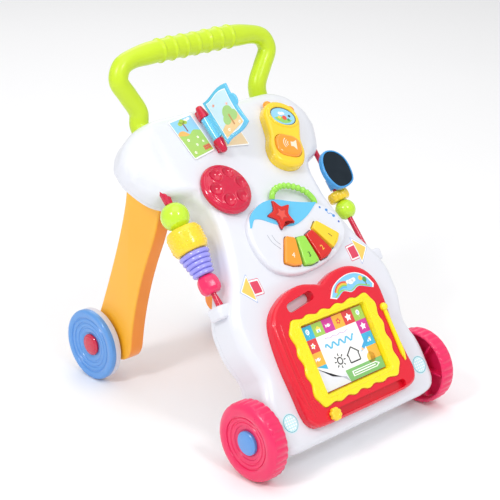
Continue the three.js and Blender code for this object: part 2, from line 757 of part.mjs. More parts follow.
// ---- Drawing board, lower panel ---------------------------------------------------------------------
const BOARD_X = -3;
const BOARD_FLOOR = 8; // depth of its recesses, measured from the panel
const boardShape = smoothOutline([
  [-70, 68], [-92, 71], [-102, 84], [-104, 118], [-105, 158], [-101, 196], [-94, 214], [-80, 227],
  [-56, 238], [-30, 241], [-8, 236], [2, 233], [12, 237], [32, 243], [58, 243], [82, 232], [95, 213],
  [97, 190], [94, 150], [96, 110], [98, 88], [90, 73], [68, 68],
], 60);
const SLOT = { x0: -64, x1: -22, s: 221, halfWidth: 5, slope: 8 };
const slotShape = roundedRect(0, -SLOT.halfWidth, SLOT.x1 - SLOT.x0, SLOT.halfWidth, SLOT.halfWidth - 0.5);
const slotCutter = plate(slotShape, -1, BOARD_THICKNESS + 2, 0, 4)
  .rotateZ(radians(SLOT.slope))
  .translate(SLOT.x0, SLOT.s - 3, 0);

const BEZEL = { x0: -81, x1: 75, s0: 88, s1: 203, corner: 14, wave: 2.2, waves: 20 };
// A rounded rectangle whose edge ripples gently.
function bezelShape(grow) {
  const plain = roundedRect(BEZEL.x0 - grow, BEZEL.s0 - grow, BEZEL.x1 + grow, BEZEL.s1 + grow, BEZEL.corner);
  const count = BEZEL.waves * 4;
  const centre = new THREE.Vector2((BEZEL.x0 + BEZEL.x1) / 2, (BEZEL.s0 + BEZEL.s1) / 2);
  const points = plain.getSpacedPoints(count).slice(0, -1).map((p, i) => {
    const inward = p.clone().sub(centre).normalize();
    return p.addScaledVector(inward, BEZEL.wave * (Math.cos((2 * Math.PI * BEZEL.waves * i) / count) - 1));
  });
  return new THREE.Shape(points);
}
const WINDOW = { x0: -58, x1: 53, s0: 104, s1: 190 };
const TRACK = { x0: -64, x1: 66, s: 76.5, halfWidth: 5.2, floor: 7 };
const trackCutter = plate(
  roundedRect(TRACK.x0 - 6, TRACK.s - TRACK.halfWidth, TRACK.x1 + 6, TRACK.s + TRACK.halfWidth, 5),
  TRACK.floor,
  BOARD_THICKNESS + 2,
  0,
  4,
);
const STYLUS = { x: 86, s0: 102, s1: 176, r: 3.4, ballR: 5.6, n: BOARD_THICKNESS + 1 };
const stylusSolid = (grow) =>
  turned([
    [0, STYLUS.s0 - grow],
    [1.2 + grow, STYLUS.s0 - grow],
    [STYLUS.r + grow, STYLUS.s0 + 12],
    [STYLUS.r * 0.85 + grow, STYLUS.s1 - 16],
    [STYLUS.ballR * 0.9 + grow, STYLUS.s1 - 5],
    [STYLUS.ballR + grow, STYLUS.s1],
    [STYLUS.ballR * 0.8 + grow, STYLUS.s1 + 4],
    [0, STYLUS.s1 + STYLUS.ballR + grow],
  ], 12)
    .rotateX(-Math.PI / 2)
    .translate(STYLUS.x, 0, STYLUS.n);

// The groove is open above the stylus, so that the stylus lifts straight out.
const grooveAbove = box(
  2 * (STYLUS.ballR + RUNNING_GAP), STYLUS.s1 - STYLUS.s0 + 12, 6,
  STYLUS.x, (STYLUS.s0 + STYLUS.s1) / 2 + 3, STYLUS.n + 2.9,
);
add(
  lowerPanel,
  "drawing_board",
  cut(
    plate(boardShape, GAP, BOARD_THICKNESS, 3),
    slotCutter,
    plate(bezelShape(RUNNING_GAP), BOARD_FLOOR, BOARD_THICKNESS + 2),
    trackCutter,
    stylusSolid(RUNNING_GAP),
    grooveAbove,
  ),
  RED,
);
const bezel = bezelShape(0);
bezel.holes.push(roundedRect(WINDOW.x0, WINDOW.s0, WINDOW.x1, WINDOW.s1, 1.5));
add(lowerPanel, "board_bezel", plate(bezel, BOARD_FLOOR + GAP, BOARD_THICKNESS + 2.5), SUNNY);
add(
  lowerPanel,
  "board_screen",
  plate(
    roundedRect(WINDOW.x0 + GAP, WINDOW.s0 + GAP, WINDOW.x1 - GAP, WINDOW.s1 - GAP, 1.2),
    BOARD_FLOOR + GAP,
    BOARD_FLOOR + 3,
  ),
  PAPER,
);
add(lowerPanel, "stylus", stylusSolid(0), YELLOW);
const KNOB = { r: 8.5, bottom: BOARD_THICKNESS + GAP, top: BOARD_THICKNESS + 7 };
add(
  lowerPanel,
  "eraser_knob",
  turned([
    [0, TRACK.floor + GAP],
    [TRACK.halfWidth - RUNNING_GAP, TRACK.floor + GAP],
    [TRACK.halfWidth - RUNNING_GAP, KNOB.bottom],
    [KNOB.r, KNOB.bottom],
    [KNOB.r, KNOB.top - 2],
    [KNOB.r - 2.5, KNOB.top],
    [0, KNOB.top],
  ], 20).translate(TRACK.x0 + 2, TRACK.s, 0),
  YELLOW,
);

// ---- Piano pod, middle panel ------------------------------------------------------------------------
const POD_TOP = 8;
const FAN = { x: 9, s: 345.4, inner: 48, outer: 86, first: -23, pitch: 20, half: 8.6 };
const podShape = smoothOutline([
  [-64, 325], [-55, 341], [-30, 355], [-2, 357], [30, 346], [60, 337], [79, 325], [90, 305],
  [88, 286], [72, 271], [45, 259], [8, 253], [-28, 255], [-54, 269], [-66, 296],
], 44);
// A piano key's plan: a slice of the fan between two radii.
function keyShape(angle, grow) {
  const half = FAN.half + THREE.MathUtils.radToDeg(grow / ((FAN.inner + FAN.outer) / 2));
  const at = (radius, degrees) => [
    FAN.x + radius * Math.sin(radians(degrees)),
    FAN.s - radius * Math.cos(radians(degrees)),
  ];
  const shape = new THREE.Shape();
  shape.moveTo(...at(FAN.inner - grow, angle - half));
  shape.lineTo(...at(FAN.outer + grow, angle - half));
  shape.lineTo(...at((FAN.outer + grow) * 1.01, angle));
  shape.lineTo(...at(FAN.outer + grow, angle + half));
  shape.lineTo(...at(FAN.inner - grow, angle + half));
  return shape;
}
const KEY = { bottom: 5.4, top: 13, wellFloor: 2.2 };
const keyAngles = [0, 1, 2, 3].map((i) => FAN.first + i * FAN.pitch);
const STAR = { x: -5, s: 333, outer: 19, inner: 10.5, bottom: 5.2, top: 12 };
function starShape(grow) {
  const shape = new THREE.Shape();
  for (let i = 0; i < 10; i++) {
    const radius = (i % 2 ? STAR.inner : STAR.outer) + grow;
    const angle = radians(90 + 36 * i + 8);
    const point = [STAR.x + radius * Math.cos(angle), STAR.s + radius * Math.sin(angle)];
    if (i) shape.lineTo(...point);
    else shape.moveTo(...point);
  }
  return shape;
}
const BAIL = { x0: -6, x1: 62, s0: 350, s1: 338, rise: 16, r: 4, n: 8 };
const bailLine = new THREE.CatmullRomCurve3(
  [
    new THREE.Vector3(BAIL.x0, BAIL.s0 + 11, BAIL.n - 3),
    new THREE.Vector3(BAIL.x0 + 10, BAIL.s0 + 20, BAIL.n),
    new THREE.Vector3(BAIL.x0 + 30, BAIL.s0 + BAIL.rise + 4, BAIL.n + 1),
    new THREE.Vector3(BAIL.x1 - 14, BAIL.s1 + BAIL.rise + 6, BAIL.n),
    new THREE.Vector3(BAIL.x1 + 4, BAIL.s1 + 6, BAIL.n - 3),
  ],
  false,
  "centripetal",
);
add(
  middlePanel,
  "piano_pod",
  cut(
    plate(podShape, GAP, POD_TOP, 1.5),
    ...keyAngles.map((angle) => plate(keyShape(angle, 1.0), KEY.wellFloor, POD_TOP + 2)),
    plate(starShape(1.0), KEY.wellFloor, POD_TOP + 2),
  ),
  WHITE,
);
add(
  middlePanel,
  "piano_handle",
  new THREE.ExtrudeGeometry(disc(0, 0, BAIL.r, 8), { steps: 24, extrudePath: bailLine }),
  GREEN,
);
const KEY_COLOURS = { orange: AMBER, green: GREEN, red: RED, yellow: YELLOW };
Object.entries(KEY_COLOURS).forEach(([word, colour], i) => {
  add(middlePanel, `key_${word}`, plate(keyShape(keyAngles[i], 0), KEY.bottom, KEY.top, 1.2), colour);
});
add(middlePanel, "star_button", plate(starShape(0), STAR.bottom, STAR.top, 1.0), RED);

// ---- Dial, book and telephone, upper panel ----------------------------------------------------------
const DIAL = { x: -61, s: 388, top: 13, cups: 6, cupRing: 21, cupR: 9, cupDepth: 4 };
const dialDome = turned([
  [0, GAP],
  [DIAL_R - 1, GAP],
  [DIAL_R, 3],
  [DIAL_R - 1, 7],
  [DIAL_R * 0.8, 10.5],
  [DIAL_R * 0.5, 12.4],
  [0, DIAL.top],
], 28);
const dialCups = [];
for (let i = 0; i < DIAL.cups; i++) {
  const angle = (2 * Math.PI * i) / DIAL.cups;
  dialCups.push(
    new THREE.SphereGeometry(DIAL.cupR, 10, 6).translate(
      DIAL.cupRing * Math.cos(angle),
      DIAL.cupRing * Math.sin(angle),
      DIAL.top + DIAL.cupR - DIAL.cupDepth - 1.5,
    ),
  );
}
add(upperPanel, "dial", cut(dialDome, ...dialCups).translate(DIAL.x, DIAL.s, 0), CRIMSON);

const BOOK = { spineX: -33, low: 436, high: 507, leafWidth: 42, n: 9, barrelR: 6, capR: 7.5, capLength: 19 };
const LEAF_INSET = 6;
const leafShape = (from, to) => roundedRect(from, BOOK.low + LEAF_INSET, to, BOOK.high - 3, 2);
add(
  upperPanel,
  "book_leaf_left",
  plate(leafShape(BOOK.spineX - BOOK.leafWidth - 9, BOOK.spineX - 9), GAP, 1.5),
  PAPER,
);
add(
  upperPanel,
  "book_leaf_right",
  plate(leafShape(BOOK.spineX + 9, BOOK.spineX + 9 + BOOK.leafWidth), GAP, 1.5),
  PAPER,
);
const alongS = (geometry, x, n) => geometry.rotateX(-Math.PI / 2).translate(x, 0, n);
const PIN_R = 1.6;
function spineCap(low, high, tipAtTop) {
  const tip = BOOK.capR * 0.55;
  const foot = box(2 * BOOK.capR * 0.7, high - low, BOOK.n - GAP, BOOK.spineX, (low + high) / 2, (BOOK.n + GAP) / 2);
  const body = turned([
    [0, low],
    [tipAtTop ? BOOK.capR : tip, low],
    [tipAtTop ? tip : BOOK.capR, high],
    [0, high],
  ], 16);
  return join([alongS(body, BOOK.spineX, BOOK.n), foot]);
}
const capHole = alongS(cylinder(PIN_R + GAP, BOOK.low + 8, BOOK.high - 8, 10), BOOK.spineX, BOOK.n);
const barrelLow = BOOK.low + BOOK.capLength;
const barrelHigh = BOOK.high - BOOK.capLength;
add(upperPanel, "book_spine_cap_top", cut(spineCap(barrelHigh + GAP, BOOK.high, true), capHole), CRIMSON);
add(upperPanel, "book_spine_cap_bottom", cut(spineCap(BOOK.low, barrelLow - GAP, false), capHole), CRIMSON);
add(
  upperPanel,
  "book_spine_pin",
  alongS(cylinder(PIN_R, BOOK.low + 8 + GAP, BOOK.high - 8 - GAP, 10), BOOK.spineX, BOOK.n),
  STEEL,
);

// The page stands up from the spine; its frame and barrel are one moulding.
const PAGE = { width: 58, thickness: 3.4, open: 82 };
const pageFrame = new THREE.Group();
pageFrame.position.set(BOOK.spineX, 0, BOOK.n);
pageFrame.rotation.y = -radians(PAGE.open);
upperPanel.add(pageFrame);
const pageOutline = roundedRect(BOOK.barrelR - 2, barrelLow + 0.5, PAGE.width, barrelHigh - 0.5, 0.1);
const pageInner = BOOK.capR + 3;
const pageWide = new THREE.Shape();
pageWide.moveTo(pageInner, BOOK.low + 4);
pageWide.bezierCurveTo(
  pageInner + 14, BOOK.low + 9, PAGE.width - 18, BOOK.low - 2, PAGE.width, BOOK.low + 6,
);
pageWide.quadraticCurveTo(PAGE.width - 4, (BOOK.low + BOOK.high) / 2, PAGE.width + 1, BOOK.high - 6);
pageWide.bezierCurveTo(
  PAGE.width - 18, BOOK.high + 3, pageInner + 14, BOOK.high - 6, pageInner, BOOK.high - 2,
);
const barrelHole = cylinder(PIN_R + RUNNING_GAP, BOOK.low - 5, BOOK.high + 5, 10).rotateX(-Math.PI / 2);
add(
  pageFrame,
  "book_page",
  cut(
    join([
      cylinder(BOOK.barrelR, barrelLow, barrelHigh, 16).rotateX(-Math.PI / 2),
      plate(pageOutline, -PAGE.thickness / 2, PAGE.thickness / 2),
      plate(pageWide, -PAGE.thickness / 2, PAGE.thickness / 2, 0, 5),
    ]),
    barrelHole,
  ),
  SKY,
);
const PRINT_INSET = 5;
add(
  pageFrame,
  "book_page_print",
  plate(
    roundedRect(
      pageInner + PRINT_INSET,
      BOOK.low + 6 + PRINT_INSET,
      PAGE.width - PRINT_INSET,
      BOOK.high - 6 - PRINT_INSET,
      3,
    ),
    PAGE.thickness / 2 + GAP,
    PAGE.thickness / 2 + GAP + 0.6,
  ),
  PAPER,
);

const PHONE = { footX: 62, footS: 414, headX: 84, headS: 459, footR: 27, headR: 25, top: 15 };
const phoneLean = Math.atan2(PHONE.headX - PHONE.footX, PHONE.headS - PHONE.footS);
const phoneAt = (across, along) => [
  PHONE.footX + across * Math.cos(phoneLean) + along * Math.sin(phoneLean),
  PHONE.footS - across * Math.sin(phoneLean) + along * Math.cos(phoneLean),
];
const phoneLength = Math.hypot(PHONE.headX - PHONE.footX, PHONE.headS - PHONE.footS);
const phoneHalf = [
  [0, -PHONE.footR],
  [PHONE.footR * 0.75, -PHONE.footR * 0.72],
  [PHONE.footR, 0],
  [PHONE.footR * 0.92, phoneLength * 0.4],
  [PHONE.headR * 0.97, phoneLength * 0.8],
  [PHONE.headR, phoneLength + 4],
  [PHONE.headR * 0.7, phoneLength + PHONE.headR * 0.78],
];
const phoneShape = smoothOutline(
  [
    ...phoneHalf.map(([x, y]) => phoneAt(x, y)),
    phoneAt(0, phoneLength + PHONE.headR),
    ...phoneHalf.slice(1).reverse().map(([x, y]) => phoneAt(-x, y)),
  ],
  36,
);
const BUTTON = { halfX: 20, halfS: 17, bottom: 8.5, top: 18.5, corner: 9, wellFloor: 4.8, along: 4 };
const buttonShape = (grow) => {
  const points = roundedRect(
    -BUTTON.halfX - grow, BUTTON.along - BUTTON.halfS - grow,
    BUTTON.halfX + grow, BUTTON.along + BUTTON.halfS + grow,
    BUTTON.corner,
  ).getPoints(3);
  return new THREE.Shape(points.slice(0, -1).map((p) => new THREE.Vector2(...phoneAt(p.x, p.y))));
};
const LENS = { along: phoneLength + 2, halfX: 17, halfS: 13, bottom: 11, top: 17.5, sides: 20 };
const lensShape = (grow) => {
  const shape = new THREE.Shape();
  for (let i = 0; i < LENS.sides; i++) {
    const angle = (2 * Math.PI * i) / LENS.sides;
    const point = phoneAt(
      (LENS.halfX + grow) * Math.cos(angle),
      LENS.along + (LENS.halfS + grow) * Math.sin(angle),
    );
    if (i) shape.lineTo(...point);
    else shape.moveTo(...point);
  }
  return shape;
};
const ear = (across) => {
  const [x, s] = phoneAt(across, phoneLength + PHONE.headR * 0.72);
  return new THREE.SphereGeometry(7, 8, 6).scale(1, 1, 0.7).translate(x, s, 8);
};
add(
  upperPanel,
  "phone_body",
  cut(
    join([plate(phoneShape, GAP, PHONE.top, 3.5), ear(-17), ear(17)]),
    plate(buttonShape(RUNNING_GAP), BUTTON.wellFloor, PHONE.top + 2),
    plate(lensShape(GAP), LENS.bottom - GAP, PHONE.top + 2),
  ),
  YELLOW,
);
add(upperPanel, "phone_button", plate(buttonShape(0), BUTTON.bottom, BUTTON.top, 2.2), ORANGE);
add(upperPanel, "phone_lens", plate(lensShape(0), LENS.bottom, LENS.top, 2.5), SKY);

// ---- Beads and the mirror on the rods ---------------------------------------------------------------
for (const [word, frame] of [["left", leftRod], ["right", rightRod]]) {
  add(frame, `bead_rod_${word}`, cylinder(ROD_R, 0, ROD_LENGTH, 12), CRIMSON);
}
// A bead's profile is [outer radius, height] pairs, bored for the rod.
function bead(profile, base) {
  const bore = ROD_R + RUNNING_GAP;
  const outer = profile.map(([radius, z]) => [radius, base + z]);
  const low = base + profile[0][1];
  const high = base + profile[profile.length - 1][1];
  return turned([[bore, low], ...outer, [bore, high], [bore, low]], 18);
}
const BALL_R = 18.5;
const ballProfile = (radius) =>
  [-64, -45, -22, 0, 22, 45, 64].map((degrees) => [
    radius * Math.cos(radians(degrees)),
    radius * (Math.sin(radians(64)) + Math.sin(radians(degrees))),
  ]);
const ballHeight = 2 * BALL_R * Math.sin(radians(64));
const BARREL = { r: 23, height: 33 };
const CONE = { top: 20, bottom: 14, height: 32 };
const NUT = { r: 14, height: 24 };
const BEAD_GAP = 0.5;
const nutBase = 22;
const coneBase = nutBase + NUT.height + BEAD_GAP;
const barrelBase = coneBase + CONE.height + BEAD_GAP;
const ballBase = barrelBase + BARREL.height + BEAD_GAP;
add(
  leftRod,
  "bead_nut_pink",
  bead([[NUT.r * 0.7, 0], [NUT.r, 5], [NUT.r, 16], [NUT.r * 0.75, NUT.height]], nutBase),
  PINK,
);
add(
  leftRod,
  "bead_cone_lavender",
  bead(
    [[CONE.bottom * 0.85, 0], [CONE.bottom, 3], [CONE.top, CONE.height - 3], [CONE.top * 0.9, CONE.height]],
    coneBase,
  ),
  LAVENDER,
);
add(
  leftRod,
  "bead_barrel_yellow",
  bead(
    [[BARREL.r * 0.82, 0], [BARREL.r, 7], [BARREL.r, BARREL.height - 7], [BARREL.r * 0.82, BARREL.height]],
    barrelBase,
  ),
  YELLOW,
);
add(leftRod, "bead_ball_lime", bead(ballProfile(BALL_R), ballBase), LIME);

const SMALL_BALL_R = 14;
const RING = { r: 15, height: 14 };
const smallBallBase = 57;
const ringBase = smallBallBase + 2 * SMALL_BALL_R * Math.sin(radians(64)) + BEAD_GAP;
add(rightRod, "bead_small_ball_lime", bead(ballProfile(SMALL_BALL_R), smallBallBase), LIME);
add(
  rightRod,
  "bead_ring_yellow",
  bead([[RING.r * 0.8, 0], [RING.r, 4], [RING.r, 10], [RING.r * 0.8, RING.height]], ringBase),
  YELLOW,
);

// The mirror's clip turns on the rod; its plate leans forward of it.
const CLIP = { r: 6.5, height: 16, base: ringBase + RING.height + 4 };
const MIRROR_PLATE = { x: -3, z: CLIP.base + 20, halfX: 25, halfZ: 31, back: 17, thickness: 8 };
const mirrorOutline = (inset) => {
  const { x, z, halfX, halfZ } = MIRROR_PLATE;
  const [a, b] = [halfX - inset, halfZ - inset];
  return smoothOutline(
    [
      [x - a * 0.8, z + b * 0.45], [x - a * 0.3, z + b], [x + a * 0.45, z + b * 0.92], [x + a, z + b * 0.35],
      [x + a * 0.98, z - b * 0.35], [x + a * 0.45, z - b * 0.95], [x - a * 0.4, z - b * 0.9],
      [x - a, z - b * 0.3],
    ],
    32,
  );
};
// Plates are drawn in (x, y) and stand upright in the rod's frame, facing forwards (-Y there).
const standUp = (geometry, forward) => geometry.rotateX(Math.PI / 2).translate(0, -forward, 0);
const clipRing = turned([
  [ROD_R + RUNNING_GAP, CLIP.base],
  [CLIP.r, CLIP.base],
  [CLIP.r, CLIP.base + CLIP.height],
  [ROD_R + RUNNING_GAP, CLIP.base + CLIP.height],
  [ROD_R + RUNNING_GAP, CLIP.base],
], 16);
const clipArm = box(
  8, MIRROR_PLATE.back - CLIP.r + 3, CLIP.height,
  0, -(MIRROR_PLATE.back + CLIP.r - 1) / 2, CLIP.base + CLIP.height / 2,
);
const mirrorFront = MIRROR_PLATE.back + MIRROR_PLATE.thickness;
add(
  rightRod,
  "mirror_frame",
  cut(
    join([
      clipRing,
      clipArm,
      standUp(plate(mirrorOutline(0), 0, MIRROR_PLATE.thickness, 1.5), MIRROR_PLATE.back),
    ]),
    standUp(plate(mirrorOutline(5 - GAP), 0, 4), mirrorFront - 2.6),
    cylinder(ROD_R + RUNNING_GAP, 0, ROD_LENGTH, 16),
  ),
  SKY,
);
add(
  rightRod,
  "mirror_glass",
  standUp(plate(mirrorOutline(5), 0, 2), mirrorFront - 2.3),
  MIRROR,
);

export default walker;
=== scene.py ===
# %% [markdown]
# # A push-along baby walker
# The walker is a hollow plastic body that leans back between four wheels. A looped handle stands on top and
# toys that turn, slide and press cover its face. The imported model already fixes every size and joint. This
# file gives each of its pieces the fine shape and the finish that a moulded toy has.

# %% Load the frame
import json
import math

import bmesh
import bpy
from mathutils import Matrix, Vector


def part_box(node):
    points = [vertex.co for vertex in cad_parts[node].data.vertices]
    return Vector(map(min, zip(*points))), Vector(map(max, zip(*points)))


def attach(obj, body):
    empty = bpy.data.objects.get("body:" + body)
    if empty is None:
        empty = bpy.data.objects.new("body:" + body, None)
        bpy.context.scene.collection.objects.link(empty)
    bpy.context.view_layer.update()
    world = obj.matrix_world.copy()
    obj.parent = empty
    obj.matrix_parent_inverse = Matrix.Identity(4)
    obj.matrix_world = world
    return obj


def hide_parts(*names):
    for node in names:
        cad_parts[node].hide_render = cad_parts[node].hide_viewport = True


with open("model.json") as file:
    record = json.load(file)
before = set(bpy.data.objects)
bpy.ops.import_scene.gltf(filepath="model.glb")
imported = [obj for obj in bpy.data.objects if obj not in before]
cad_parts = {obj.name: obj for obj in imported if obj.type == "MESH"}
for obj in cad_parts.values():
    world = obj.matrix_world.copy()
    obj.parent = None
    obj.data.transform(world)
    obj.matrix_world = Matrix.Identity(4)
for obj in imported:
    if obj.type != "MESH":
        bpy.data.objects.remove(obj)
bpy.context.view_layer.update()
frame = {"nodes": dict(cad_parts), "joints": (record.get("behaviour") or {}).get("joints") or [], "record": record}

# %% [markdown]
# ## The leaning face
# The face bends twice on its way up, so it has three flat stretches. Each gets a matrix that takes
# millimetres across, up along the face and out of it, and gives metres in the frame. The joints already
# hold the directions: the drawing board lifts square to the lower stretch, the star is pressed square to
# the middle one and the dial turns about a line square to the upper one.

# %% Three stretches of the face
MM = 0.001
ACROSS = Vector((1, 0, 0))
FIRST_BEND, SECOND_BEND = 254, 370
COVER_UP, COVER_OUT = 200, -58.7  # where the battery cover's face lies along and behind the face

JOINTS = {joint["name"]: joint for joint in frame["joints"]}
MOUNTS = {mount["name"]: mount for mount in frame["record"]["mounts"]}


def axis_of(joint):
    return Vector(JOINTS[joint]["axis"]).normalized()


def stretch(outward, point, up):
    """A stretch that faces outward and passes through point, which lies up millimetres along it."""
    climb = outward.cross(ACROSS)
    turn = Matrix((ACROSS, climb, outward)).transposed().to_4x4()
    turn.translation = point - climb * up * MM
    return turn @ Matrix.Scale(MM, 4)


out_low = axis_of("board_lift")
cover_point = Vector(MOUNTS["battery_cover_face"]["pos_m"]) - out_low * COVER_OUT * MM
LOWER = stretch(out_low, cover_point, COVER_UP)
MIDDLE = stretch(-axis_of("star_button_press"), LOWER @ Vector((0, FIRST_BEND, 0)), FIRST_BEND)
UPPER = stretch(axis_of("dial_spin"), MIDDLE @ Vector((0, SECOND_BEND, 0)), SECOND_BEND)
print("the dial's centre in the upper stretch:", UPPER.inverted() @ Vector(JOINTS["dial_spin"]["pos_m"]))

# %% Any point of the face
BEND_REACH = 20  # the stretches blend into each other this far either side of a bend


def outward_at(up):
    """The direction out of the face, turning gradually at the two bends."""
    low, middle, high = (m.to_3x3() @ Vector((0, 0, 1)) for m in (LOWER, MIDDLE, UPPER))
    first = min(max((up - FIRST_BEND + BEND_REACH) / (2 * BEND_REACH), 0), 1)
    second = min(max((up - SECOND_BEND + BEND_REACH) / (2 * BEND_REACH), 0), 1)
    return low.lerp(middle, first).lerp(high, second)


def on_face(across, up, out):
    here = LOWER if up < FIRST_BEND else MIDDLE if up < SECOND_BEND else UPPER
    return here @ Vector((across, up, 0)) + outward_at(up) * out


# %% [markdown]
# ## Helpers for shapes
# Almost every piece is either turned on a lathe, cut from a plate with rounded edges, or drawn as a sheet
# over a grid. Each of these is one short function on a bmesh that works in millimetres. One more function
# puts a finished mesh in its place, makes it ride on its body and hides the plain solid it stands for.

# %% From a working mesh to a piece
def make_piece(bm, name, body, slot, finish, replaces=(), place=None, crease=38, recalculate=True):
    if place is not None:
        bmesh.ops.transform(bm, matrix=place, verts=bm.verts)
    if recalculate:
        bmesh.ops.recalc_face_normals(bm, faces=bm.faces)
    mesh = bpy.data.meshes.new(name)
    bm.to_mesh(mesh)
    bm.free()
    mesh.polygons.foreach_set("use_smooth", [True] * len(mesh.polygons))
    mesh.set_sharp_from_angle(angle=math.radians(crease))
    mesh.materials.append(finish)
    piece = bpy.data.objects.new(name, mesh)
    bpy.context.scene.collection.objects.link(piece)
    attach(piece, body)
    if replaces:
        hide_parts(*replaces)
    return piece


def bend_to_face(bm):
    """Lays a mesh drawn flat in (across, up, out) onto the bending face."""
    for bend in (FIRST_BEND, SECOND_BEND):
        everything = bm.verts[:] + bm.edges[:] + bm.faces[:]
        bmesh.ops.bisect_plane(bm, geom=everything, plane_co=(0, bend, 0), plane_no=(0, 1, 0), dist=1e-4)
    for vertex in bm.verts:
        vertex.co = on_face(*vertex.co)
    return bm


# %% Smooth lines through a few points
def curve_through(points, count, closed=False):
    """Count points on a smooth line through the given ones, spaced evenly in each span."""
    points = [Vector(p) for p in points]
    last = len(points)
    spans = last if closed else last - 1

    def at(index):
        return points[index % last] if closed else points[min(max(index, 0), last - 1)]

    line = []
    for step in range(count):
        place = step / count * spans if closed else step / (count - 1) * spans
        span = min(int(place), spans - 1)
        t = place - span
        before, start, end, after = (at(span + k) for k in (-1, 0, 1, 2))
        if not closed and span == 0:
            before = 2 * start - end
        if not closed and span == spans - 1:
            after = 2 * end - start
        reach = (end - start).length
        leave = (end - before) * reach / max((end - start).length + (start - before).length, 1e-6)
        arrive = (after - start) * reach / max((after - end).length + (end - start).length, 1e-6)
        line.append(
            start * (2 * t**3 - 3 * t**2 + 1) + leave * (t**3 - 2 * t**2 + t)
            + end * (3 * t**2 - 2 * t**3) + arrive * (t**3 - t**2)
        )
    return line


def arc(x, y, radius, start, end, steps, squash=1.0):
    """Points on part of a circle, from one angle in degrees to another."""
    angles = [math.radians(start + (end - start) * k / steps) for k in range(steps + 1)]
    return [(x + radius * math.cos(a), y + radius * squash * math.sin(a)) for a in angles]


def disc(x, y, radius, steps=48, squash=1.0):
    return arc(x, y, radius, 0, 360, steps, squash)[:-1]


def rounded_box(x0, y0, x1, y1, radius, steps=8):
    corners = ((x1, y0, 1, -1, -90), (x1, y1, 1, 1, 0), (x0, y1, -1, 1, 90), (x0, y0, -1, -1, 180))
    return [
        point
        for x, y, right, top, start in corners
        for point in arc(x - right * radius, y - top * radius, radius, start, start + 90, steps)
    ]


def bezier(start, middle, end, steps=12):
    """A bend from start to end that is pulled towards middle, without its first point."""
    start, middle, end = Vector(start), Vector(middle), Vector(end)
    shares = [k / steps for k in range(1, steps + 1)]
    return [start * (1 - t) ** 2 + middle * 2 * t * (1 - t) + end * t**2 for t in shares]


def moved(outline, across=0, up=0, turn=0, size=1.0):
    """An outline turned in degrees about its origin, scaled and moved."""
    c, s = math.cos(math.radians(turn)) * size, math.sin(math.radians(turn)) * size
    return [(across + x * c - y * s, up + x * s + y * c) for x, y in outline]


# %% Plates, turned shapes and grids
def plate(outline, low, high, edge=0.0, segments=4, both=False):
    """A flat plate with its upper rim, or both rims, rounded over. A narrow border ring keeps it flat."""
    bm = bmesh.new()
    face = bm.faces.new([bm.verts.new((p[0], p[1], low)) for p in outline])
    bmesh.ops.recalc_face_normals(bm, faces=[face])
    grown = bmesh.ops.extrude_face_region(bm, geom=[face])["geom"]
    lifted = [g for g in grown if isinstance(g, bmesh.types.BMVert)]
    bmesh.ops.translate(bm, verts=lifted, vec=(0, 0, high - low))
    if edge:
        def level(e, z):
            return all(abs(v.co.z - z) < 1e-5 for v in e.verts)
        rims = [e for e in bm.edges if level(e, high) or (both and level(e, low))]
        bmesh.ops.bevel(
            bm, geom=rims, offset=edge, offset_type="OFFSET", segments=segments, profile=0.5,
            affect="EDGES", material=-1, clamp_overlap=True,
        )
        flat = [f for f in bm.faces if all(abs(v.co.z - high) < 1e-5 for v in f.verts)]
        bmesh.ops.inset_region(bm, faces=flat, thickness=0.25, depth=0)
    return bm


def turned(profile, steps=72):
    """A shape turned about local Z from (radius, height) points."""
    bm = bmesh.new()
    verts = [bm.verts.new((radius, 0, height)) for radius, height in profile]
    edges = [bm.edges.new(pair) for pair in zip(verts, verts[1:])]
    bmesh.ops.spin(
        bm, geom=verts + edges, cent=(0, 0, 0), axis=(0, 0, 1), angle=2 * math.pi, steps=steps,
        use_merge=True,
    )
    bmesh.ops.remove_doubles(bm, verts=bm.verts, dist=1e-3)
    return bm


def grid(columns, rows, place):
    """A sheet whose point in column i and row j lies at place(i, j)."""
    bm = bmesh.new()
    bmesh.ops.create_grid(bm, x_segments=columns, y_segments=rows, size=1)
    for vertex in bm.verts:
        column = round((vertex.co.x + 1) / 2 * columns)
        row = round((vertex.co.y + 1) / 2 * rows)
        vertex.co = place(column, row)
    return bm


def block(width, height, depth, across, up, out):
    bm = bmesh.new()
    bmesh.ops.create_cube(bm, size=1)
    bmesh.ops.scale(bm, vec=(width, height, depth), verts=bm.verts)
    bmesh.ops.translate(bm, vec=(across, up, out), verts=bm.verts)
    return bm


def ball(radius, across, up, out, stretch_by=(1, 1, 1), detail=24):
    bm = bmesh.new()
    bmesh.ops.create_uvsphere(bm, u_segments=detail * 2, v_segments=detail, radius=radius)
    bmesh.ops.scale(bm, vec=stretch_by, verts=bm.verts)
    bmesh.ops.translate(bm, vec=(across, up, out), verts=bm.verts)
    return bm


def gather(bm, *others):
    """Adds other working meshes to bm."""
    for other in others:
        mesh = bpy.data.meshes.new("part")
        other.to_mesh(mesh)
        other.free()
        bm.from_mesh(mesh)
        bpy.data.meshes.remove(mesh)
    return bm


# %% Tubes and cuts
def evaluated(holder):
    """The working mesh of an object as its modifiers or its bevel leave it. The object is removed."""
    bpy.context.view_layer.update()
    shaped = holder.evaluated_get(bpy.context.evaluated_depsgraph_get())
    mesh = bpy.data.meshes.new_from_object(shaped)
    bm = bmesh.new()
    bm.from_mesh(mesh)
    bpy.data.objects.remove(holder)
    bpy.data.meshes.remove(mesh)
    return bm


def holder_of(data):
    holder = bpy.data.objects.new("holder", data)
    bpy.context.scene.collection.objects.link(holder)
    return holder


